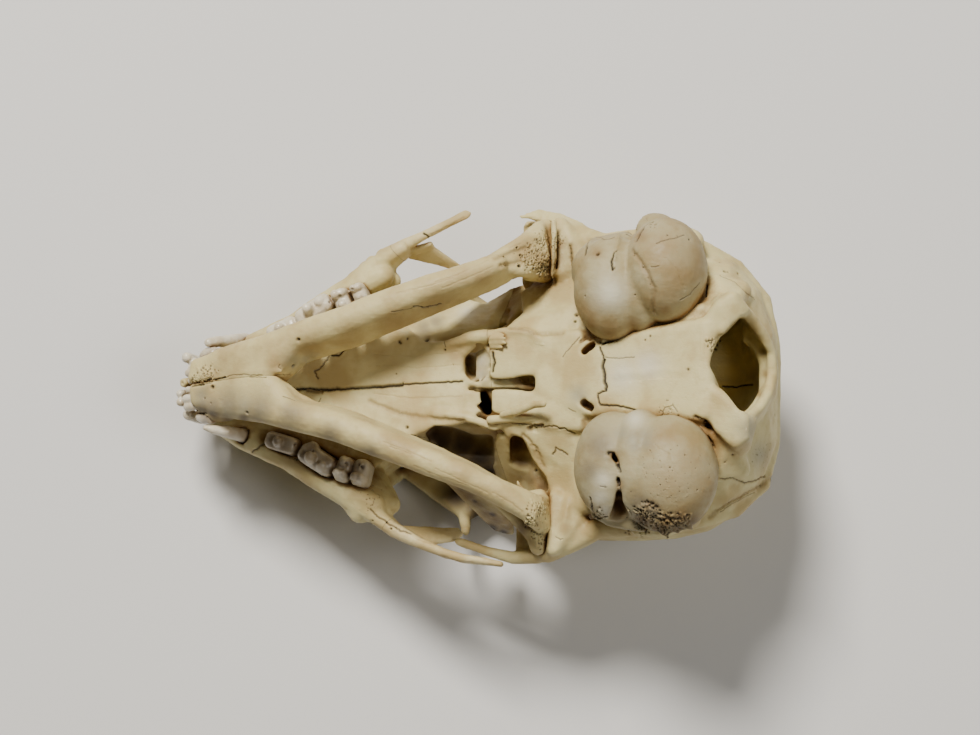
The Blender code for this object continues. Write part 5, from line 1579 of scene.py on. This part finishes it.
def make_bulla(word):
    """An ear capsule: whole on the left; cracked, slit open and torn along an edge on the right."""
    side = SIDES[word]
    clay = Clay()
    holes = Clay()
    for chamber in BULLA_CHAMBERS[word]:
        clay.ellipsoid(side, chamber, floor=BULLA_ROOT)
    clay.lay("bulla " + word, side)
    holes.lay(f"bulla {word} holes", side)
    return skin(f"bulla_{word}_bone", clay, "capsule", holes)


def make_throat_crest(word):
    """What stands of the plate beside the throat."""
    clay = Clay()
    clay.lay("throat crest " + word, SIDES[word])
    return skin(f"pterygoid_{word}_bone", clay, "plate")


def jaw_bar(clay, side):
    for start, end in zip(JAW_BAR[side], JAW_BAR[side][1:]):
        balls = []
        for x, low_y, low, high_y, high, radius in (start, end):
            balls.append((x, low_y, low - radius, radius))
            balls.append((x, high_y, high + radius, radius))
            if x < CHIN_END:
                balls.append((x, CHIN_MIDDLE, low - radius, radius * CHIN_LOW))
                balls.append((x, CHIN_MIDDLE, high + radius, radius * CHIN_HIGH))
        clay.hull(side, balls, detail=3)


def make_mandible(word):
    side = SIDES[word]
    clay = Clay()
    holes = Clay()
    jaw_bar(clay, side)
    clay.lay("chin", side)
    clay.lay("chin " + word)
    clay.lay("jaw blade", side)
    clay.hull(side, JAW_NECK)
    clay.lay("jaw end " + word)
    clay.hull(side, JAW_JOINT[side] + JAW_CONDYLE, 3)
    seat_front_teeth(holes, "lower_teeth_" + word)
    seat_cheek_teeth(holes, "lower_teeth_" + word, side, TOOTH_NECKS["lower"])
    holes.lay("blade hollow", side)
    x, z = JAW_CUT
    cuts = [((x, side * SUTURE, z), (0.0, -side, 0.0), WHOLE_CUT)]
    return skin(f"mandible_{word}_bone", clay, "jaw", holes, cuts=cuts)


def make_teeth(row, word):
    """The front and cheek teeth of one row; the lower ones stay on their side of the middle."""
    name = f"{row}_teeth_{word}"
    side = SIDES[word]
    clay = Clay()
    for tooth in FRONT_TEETH[name]:
        clay.limb(LEFT, seen(tooth), 3)
    for tooth in CHEEK_TEETH[name]:
        crown(clay, side, tooth, *TOOTH_NECKS[row])
    if row == "lower":
        clay.keep_to_side(side, SUTURE)
    return skin(name, clay, "tooth", whole=False)


def evened(values, edges, passes):
    """Average every value with its neighbours', some times over."""
    count = np.bincount(edges.ravel(), minlength=len(values))
    for _ in range(passes):
        total = np.bincount(edges[:, 0], weights=values[edges[:, 1]], minlength=len(values))
        total += np.bincount(edges[:, 1], weights=values[edges[:, 0]], minlength=len(values))
        values = (values + total) / (1.0 + count)
    return values


def tree_of(pieces):
    """One search tree of the surfaces of some pieces."""
    places = []
    faces = []
    for piece in pieces:
        start = len(places)
        places += [vert.co.copy() for vert in piece.data.vertices]
        faces += [[start + index for index in face.vertices] for face in piece.data.polygons]
    return BVHTree.FromPolygons(places, faces)


def cone_rays():
    """Directions that spread round the upright in cones."""
    rays = []
    for degrees, count, first in RAY_CONES:
        tilt = radians(degrees)
        for index in range(count):
            turn = first + 2.0 * pi * index / count
            rays.append(Vector((cos(turn) * sin(tilt), sin(turn) * sin(tilt), cos(tilt))))
    return rays


def recesses(mesh, tree):
    """How closely each vertex is shut in by bone, from 0 in the open to 1."""
    places, normals, edges = mesh_arrays(mesh)
    rays = cone_rays()
    shut = np.zeros(len(places))
    for index, (place, normal) in enumerate(zip(places, normals)):
        normal = Vector(normal)
        turn = normal.to_track_quat("Z", "Y").to_matrix()
        start = Vector(place) + normal * RAY_START
        total = 0.0
        for ray in rays:
            distance = tree.ray_cast(start, turn @ ray, RECESS_REACH)[3]
            if distance is not None:
                total += (1.0 - distance / RECESS_REACH) ** RECESS_FALL
        shut[index] = total / len(rays)
    return evened(shut, edges, RECESS_PASSES)


def wander(u, v, size):
    """Let a drawn line stray by a few tenths of a pixel to some pixels."""
    slow, fine = (
        noise.noise_vector(Vector((u * turns, v * turns, place)))
        for turns, place in (SLOW_WANDER, FINE_WANDER)
    )
    across = (slow.x + fine.x * FINE_WANDER_SHARE) * size
    down = (slow.y + fine.y * FINE_WANDER_SHARE) * size
    return u + across, v + down


def spotted(tree, u, v):
    """The place on the bone under one pixel, in a list, or nothing."""
    hit = tree.ray_cast(SIGHT.place, SIGHT.line(u, v))[0]
    return [] if hit is None else [hit]


def drawn(tree, pixels, stray):
    """Places on the bone under a line that joins the pixels."""
    samples = []
    for (u0, v0), (u1, v1) in zip(pixels, pixels[1:]):
        steps = max(1, int(hypot(u1 - u0, v1 - v0) * PIXEL / SAMPLE_STEP))
        for step in range(steps):
            share = step / steps
            samples += spotted(tree, *wander(u0 + (u1 - u0) * share, v0 + (v1 - v0) * share, stray))
    return samples


class Marks:
    """Everything that is drawn on one bone: samples with a half width, a depth and shares of colour."""

    def __init__(self):
        self.samples = []
        self.values = []

    def add(self, places, half_width, depth, shares):
        for place in places:
            self.samples.append(place)
            self.values.append((half_width, depth, shares))

    def search(self):
        found = KDTree(max(1, len(self.samples)))
        for index, sample in enumerate(self.samples):
            found.insert(sample, index)
        found.balance()
        return found


def squashed(place):
    """A place pressed flat along the middle line of sight, so that staining and painted light and shade
    reach deep.
    """
    return place - SIGHT.toward * place.dot(SIGHT.toward) * STAIN_AND_LIGHT_DEPTH_SHARE


def gather_lines(name, tree):
    marks = Marks()
    for style, pixels in LINES.get(name, []):
        half_width, depth, dark, brown, stray = STYLES[style]
        marks.add(drawn(tree, pixels, stray), half_width * MM, depth * MM, (dark, brown))
    for style, spots in DOTS.get(name, []):
        depth, dark, brown = DOT_STYLES[style]
        for u, v, half_width in spots:
            marks.add(spotted(tree, u, v), half_width * PIXEL, depth * MM, (dark, brown))
    depth, dark, brown = DOT_STYLES["pore"]
    chance = Random(name)
    for u, v, reach, count, half_width in POROUS.get(name, []):
        spread = reach * PORE_SPREAD
        for _ in range(count):
            place = u + chance.gauss(0.0, spread), v + chance.gauss(0.0, spread)
            size = half_width * chance.uniform(*PORE_SIZES)
            marks.add(spotted(tree, *place), size * PIXEL, depth * size * MM, (dark, brown))
            place = u + chance.gauss(0.0, spread), v + chance.gauss(0.0, spread)
            crumb = -CRUMB_HEIGHT * depth * size * MM
            marks.add(spotted(tree, *place), size * CRUMB_WIDTH * PIXEL, crumb, (0.0, 0.0))
    return marks


def gather_stains_and_painted_light(name, tree):
    marks = Marks()
    # Stains and patches of painted light and shade, each pressed flat along the line of sight.
    for tone, spots in STAINS_AND_PAINTED_LIGHT.get(name, []):
        for u, v, half_width in spots:
            places = [squashed(place) for place in spotted(tree, u, v)]
            marks.add(places, half_width * PIXEL, 0.0, TONES[tone])
    return marks


def refine(bm, marks, detail, flatten=Vector):
    """Make the mesh finer, step by step, beside what is drawn on it."""
    if not marks.samples:
        return
    finest, passes = detail
    found = marks.search()
    candidates = list(bm.edges)
    for _ in range(passes):
        chosen = []
        for edge in candidates:
            length = edge.calc_length()
            if length < finest:
                continue
            middle = (edge.verts[0].co + edge.verts[1].co) / 2.0
            _, index, distance = found.find(flatten(middle))
            if distance < marks.values[index][0] * REFINED_WIDTHS + length * REFINED_EDGES:
                chosen.append(edge)
        split = bmesh.ops.subdivide_edges(bm, edges=chosen, cuts=1)
        flat = bmesh.ops.triangulate(bm, faces=[face for face in bm.faces if len(face.verts) > 3])
        parts = [part for part in split["geom"] if isinstance(part, bmesh.types.BMEdge)]
        candidates = list(dict.fromkeys(parts + list(flat["edges"])))


def bell(distance, half_width):
    return np.exp(-(distance / half_width) ** 2)


def shade_light_and_mark(piece, everything):
    """Give a bone its cracks and pits, and write where it is shut in, cracked, stained and painted
    with light or shade.

    Of the attribute for the recesses and for painted light, red is the shade of recesses, patina and
    painted shade alike, green is painted light in white and blue is a painted amber glow. Of the
    attribute Marks, red is dark, for cracks, pits and painted shadow, green is brown, for staining and
    painted shade, and blue is grey, for staining and painted shade.
    """
    # Bone that shuts a vertex in darkens it, as patina and as painted shade.
    shut = recesses(piece.data, everything)
    shade_and_light = piece.data.attributes.new("Age", "FLOAT_COLOR", "POINT")
    values = np.zeros((len(shut), 4))
    values[:, 0] = shut
    values[:, 3] = 1.0
    shade_and_light.data.foreach_set("color", values.ravel())
    own = tree_of([piece])
    lines = gather_lines(piece.name, own)
    stains_and_light = gather_stains_and_painted_light(piece.name, own)
    bm = bmesh.new()
    bm.from_mesh(piece.data)
    refine(bm, stains_and_light, STAIN_AND_LIGHT_DETAIL, squashed)
    refine(bm, lines, LINE_DETAIL)
    bm.to_mesh(piece.data)
    bm.free()
    places, normals, _ = mesh_arrays(piece.data)
    colours = np.zeros((len(places), 4))
    colours[:, 3] = 1.0
    kept_recess_shade = np.ones(len(places))
    light_tones = np.zeros((len(places), 2))
    found_lines = lines.search()
    found_stains_and_light = stains_and_light.search()
    shifts = np.zeros(len(places))
    for index, place in enumerate(places):
        place = Vector(place)
        if lines.samples:
            _, nearest, distance = found_lines.find(place)
            half_width, depth, (dark, brown) = lines.values[nearest]
            if distance < half_width * MARK_REACH:
                share = bell(distance, half_width)
                shifts[index] -= depth * share
                colours[index, 0] = dark * share
                colours[index, 1] = brown * bell(distance, half_width * HALO)
        # Stains and patches of painted light and shade; the clean tone takes the shade of recesses away.
        if stains_and_light.samples:
            for _, nearest, distance in found_stains_and_light.find_n(squashed(place), PATCHES_THAT_MEET):
                half_width, _, tones = stains_and_light.values[nearest]
                share = bell(distance, half_width)
                for channel in range(3):
                    colours[index, channel] = max(colours[index, channel], tones[channel] * share)
                kept_recess_shade[index] = min(kept_recess_shade[index], 1.0 - tones[3] * share)
                for channel in range(2):
                    tone = tones[4 + channel] * share
                    light_tones[index, channel] = max(light_tones[index, channel], tone)
    places += normals * shifts[:, None]
    places[:, 2] = np.maximum(places[:, 2], 0.0)
    piece.data.vertices.foreach_set("co", places.ravel())
    values = np.empty(len(places) * 4)
    shade_and_light = piece.data.attributes["Age"]
    shade_and_light.data.foreach_get("color", values)
    values = values.reshape(-1, 4)
    values[:, 0] *= kept_recess_shade
    values[:, 1:3] = light_tones
    shade_and_light.data.foreach_set("color", values.ravel())
    layer = piece.data.attributes.new("Marks", "FLOAT_COLOR", "POINT")
    layer.data.foreach_set("color", colours.ravel())
    piece.data.update()


def colour(parts):
    return (*parts, 1.0)


class Finish:
    """Builds one material's nodes; each call adds a node and gives back its result."""

    def __init__(self, name):
        self.material = bpy.data.materials.new(name)
        self.material.use_nodes = True
        self.tree = self.material.node_tree
        self.shader = self.tree.nodes["Principled BSDF"].inputs
        self.place = self.node("ShaderNodeTexCoord").outputs["Object"]

    def node(self, kind, **settings):
        made = self.tree.nodes.new(kind)
        for key, value in settings.items():
            setattr(made, key, value)
        return made

    def feed(self, inputs, **values):
        """Link or set inputs; a word's underscores stand for spaces."""
        for word, value in values.items():
            self.put(inputs[word.replace("_", " ")], value)

    def put(self, socket, value):
        if isinstance(value, bpy.types.NodeSocket):
            self.tree.links.new(value, socket)
        else:
            socket.default_value = value

    def stretched(self, scale):
        made = self.node("ShaderNodeMapping")
        self.feed(made.inputs, Scale=scale, Vector=self.place)
        return made.outputs["Vector"]

    def cloud(self, scale, detail, rough, place=None):
        made = self.node("ShaderNodeTexNoise")
        self.feed(made.inputs, Vector=place or self.place, Scale=scale, Detail=detail, Roughness=rough)
        return made.outputs["Fac"]

    def cells(self, scale):
        made = self.node("ShaderNodeTexVoronoi")
        self.feed(made.inputs, Vector=self.place, Scale=scale)
        return made.outputs["Distance"]

    def spread(self, value, low, high, to_low=0.0, to_high=1.0):
        made = self.node("ShaderNodeMapRange", interpolation_type="SMOOTHSTEP")
        self.feed(made.inputs, Value=value, From_Min=low, From_Max=high, To_Min=to_low, To_Max=to_high)
        return made.outputs["Result"]

    def sum(self, operation, first, second):
        made = self.node("ShaderNodeMath", operation=operation)
        self.put(made.inputs[0], first)
        self.put(made.inputs[1], second)
        return made.outputs[0]

    def mixed(self, share, first, second):
        made = self.node("ShaderNodeMix", data_type="RGBA")
        self.feed(made.inputs, Factor=share, A=first, B=second)
        return made.outputs["Result"]

    def painted(self, name):
        made = self.node("ShaderNodeAttribute", attribute_name=name)
        parts = self.node("ShaderNodeSeparateColor")
        self.feed(parts.inputs, Color=made.outputs["Color"])
        return parts.outputs

    def bump(self, height, size, under=None):
        made = self.node("ShaderNodeBump")
        distance, strength = size
        self.feed(made.inputs, Height=height, Distance=distance, Strength=strength)
        if under is not None:
            self.feed(made.inputs, Normal=under)
        return made.outputs["Normal"]

    def tune(self, settings):
        for name, value in settings.items():
            self.shader[name].default_value = value


def bone_finish(name):
    """Old cleaned bone: cream with tan clouds, browner where it is shut in, as patina and as painted
    shade, dark in its cracks and in painted shadows, and paler in white and amber patches of painted
    light.
    """
    finish = Finish(name)
    pale, tan, brown = (colour(tone) for tone in PALETTE[name])
    shade_and_light = finish.painted("Age")
    marks = finish.painted("Marks")
    clouds = finish.cloud(*CLOUDS)
    mottle = finish.cloud(*MOTTLE)
    base = finish.mixed(finish.spread(clouds, *CLOUD_STEP), pale, tan)
    base = finish.mixed(finish.spread(mottle, *MOTTLE_STEP), base, tan)
    patches = finish.sum("MULTIPLY", finish.sum("SUBTRACT", mottle, MOTTLE_MIDDLE), UNEVENNESS)
    uneven = finish.sum("ADD", shade_and_light["Red"], patches)
    # Where bone shuts it in, the bone turns brown and then deep brown: patina and painted shade.
    base = finish.mixed(finish.spread(uneven, *SHADE_STEP), base, brown)
    base = finish.mixed(finish.spread(uneven, *DEEP_STEP), base, colour(DEEP_SHADE))
    # Brown and grey stains, each also used as painted shade, painted light in white and a painted amber
    # glow.
    for part, share, tone in (
        (marks["Green"], BROWN_SHARE, brown),
        (marks["Blue"], GREY_SHARE, colour(GREY_STAIN_AND_SHADE)),
        (shade_and_light["Green"], WHITE_SHARE, colour(WHITE_PAINTED_LIGHT)),
        (shade_and_light["Blue"], AMBER_SHARE, colour(AMBER_PAINTED_GLOW)),
    ):
        base = finish.mixed(finish.sum("MULTIPLY", part, share), base, tone)
    # Cracks, pits and painted shadows in the darkest tone.
    base = finish.mixed(marks["Red"], base, colour(CRACK_AND_PAINTED_SHADOW))
    normal = finish.bump(finish.cloud(*STREAKS, finish.stretched(STREAK_STRETCH)), STREAK_BUMP)
    normal = finish.bump(finish.cloud(*FINE_GRAIN), GRAIN_BUMP, normal)
    normal = finish.bump(finish.spread(finish.cells(PORES_PER_METRE), *PORE_STEP), PORE_BUMP, normal)
    roughness = finish.spread(mottle, *ROUGHNESS_STEP)
    finish.feed(finish.shader, Base_Color=base, Roughness=roughness, Normal=normal)
    finish.tune(BONE_SHADER)
    return finish.material


def tooth_finish():
    """Enamel: white on the cusps, ivory towards the neck, brown in the shade of the jaws, glossy."""
    finish = Finish("enamel")
    shade_and_light = finish.painted("Age")
    marks = finish.painted("Marks")
    clouds = finish.spread(finish.cloud(*TOOTH_CLOUDS), *TOOTH_CLOUD_STEP)
    base = finish.mixed(clouds, colour(ENAMEL), colour(IVORY))
    # Brown where the jaws shut the teeth in: patina and painted shade.
    base = finish.mixed(finish.spread(shade_and_light["Red"], *TOOTH_SHADE_STEP), base, colour(TOOTH_SHADE))
    # Brown stains and painted shade.
    stain_and_shade = finish.sum("MULTIPLY", marks["Green"], TOOTH_STAIN_AND_SHADE_SHARE)
    base = finish.mixed(stain_and_shade, base, colour(TOOTH_STAIN_AND_SHADE))
    # Holes, and painted shade, in the darkest tone.
    base = finish.mixed(marks["Red"], base, colour(TOOTH_HOLE_AND_SHADOW))
    normal = finish.bump(finish.cloud(*TOOTH_GRAIN), TOOTH_BUMP)
    finish.feed(finish.shader, Base_Color=base, Normal=normal)
    finish.tune(TOOTH_SHADER)
    return finish.material


def add_camera():
    camera = bpy.data.cameras.new("camera")
    camera.sensor_width = SENSOR
    camera.lens = SENSOR * CAMERA_DISTANCE / PHOTO_WIDTH_AT_TARGET
    camera.clip_start = CAMERA_NEAREST
    placed = new_object("camera", camera)
    turn = Matrix((SIGHT.right, SIGHT.up, SIGHT.toward)).transposed().to_4x4()
    placed.matrix_world = Matrix.Translation(SIGHT.place) @ turn
    bpy.context.scene.camera = placed


def add_stage():
    """A plain pale floor under soft light from the side of the photograph's top edge."""
    disc = bmesh.new()
    bmesh.ops.create_circle(disc, cap_ends=True, segments=FLOOR_POINTS, radius=FLOOR_RADIUS)
    mesh = bpy.data.meshes.new("floor")
    disc.to_mesh(mesh)
    disc.free()
    floor = new_object("floor", mesh)
    finish = Finish("floor_card")
    low, high = (colour(tone) for tone in FLOOR_TONES)
    finish.feed(finish.shader, Base_Color=finish.mixed(finish.cloud(*FLOOR_CLOUDS), low, high))
    finish.tune(FLOOR_SHADER)
    mesh.materials.append(finish.material)
    world = bpy.data.worlds.new("room")
    world.use_nodes = True
    for name, value in ROOM.items():
        world.node_tree.nodes["Background"].inputs[name].default_value = value
    bpy.context.scene.world = world
    for name, (place, width, power, tint) in LAMPS.items():
        light = bpy.data.lights.new(name, "AREA")
        light.shape = "DISK"
        light.size = width
        light.energy = power
        light.color = tint
        placed = new_object(name, light)
        placed.location = place
        placed.rotation_euler = (LAMP_AIM - place).to_track_quat("-Z", "Y").to_euler()


def main():
    add_camera()
    add_stage()
    bones = [
        (make_face(), "face", "cranium_bone"),
        (make_braincase(), "braincase", "cranium_bone"),
    ]
    teeth = []
    for word in SIDES:
        bones.append((make_bulla(word), "bulla_" + word, "ear_capsule_bone"))
        bones.append((make_cheek_bone(word), "jugal_" + word, "cheek_bone"))
        bones.append((make_throat_crest(word), "pterygoid_" + word, "cranium_bone"))
        bones.append((make_mandible(word), "mandible_" + word, "jaw_bone"))
        teeth.append((make_teeth("upper", word), None, "cranium_bone"))
        teeth.append((make_teeth("lower", word), None, "jaw_bone"))
    everything = tree_of([piece for piece, _, _ in bones + teeth])
    finishes = {name: bone_finish(name) for name in PALETTE}
    enamel = tooth_finish()
    for piece, node, slot in bones + teeth:
        shade_light_and_mark(piece, everything)
        piece.data.materials.clear()
        piece.data.materials.append(finishes[slot] if node else enamel)
        piece.data.shade_smooth()
        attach(piece, "root")
        if node:
            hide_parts(node)


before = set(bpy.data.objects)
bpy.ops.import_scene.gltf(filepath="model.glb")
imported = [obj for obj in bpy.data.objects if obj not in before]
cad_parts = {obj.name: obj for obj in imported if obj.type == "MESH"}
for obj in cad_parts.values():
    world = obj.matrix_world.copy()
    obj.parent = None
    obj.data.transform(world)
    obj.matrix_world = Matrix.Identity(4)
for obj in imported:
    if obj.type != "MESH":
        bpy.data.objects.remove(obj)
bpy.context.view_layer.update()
main()
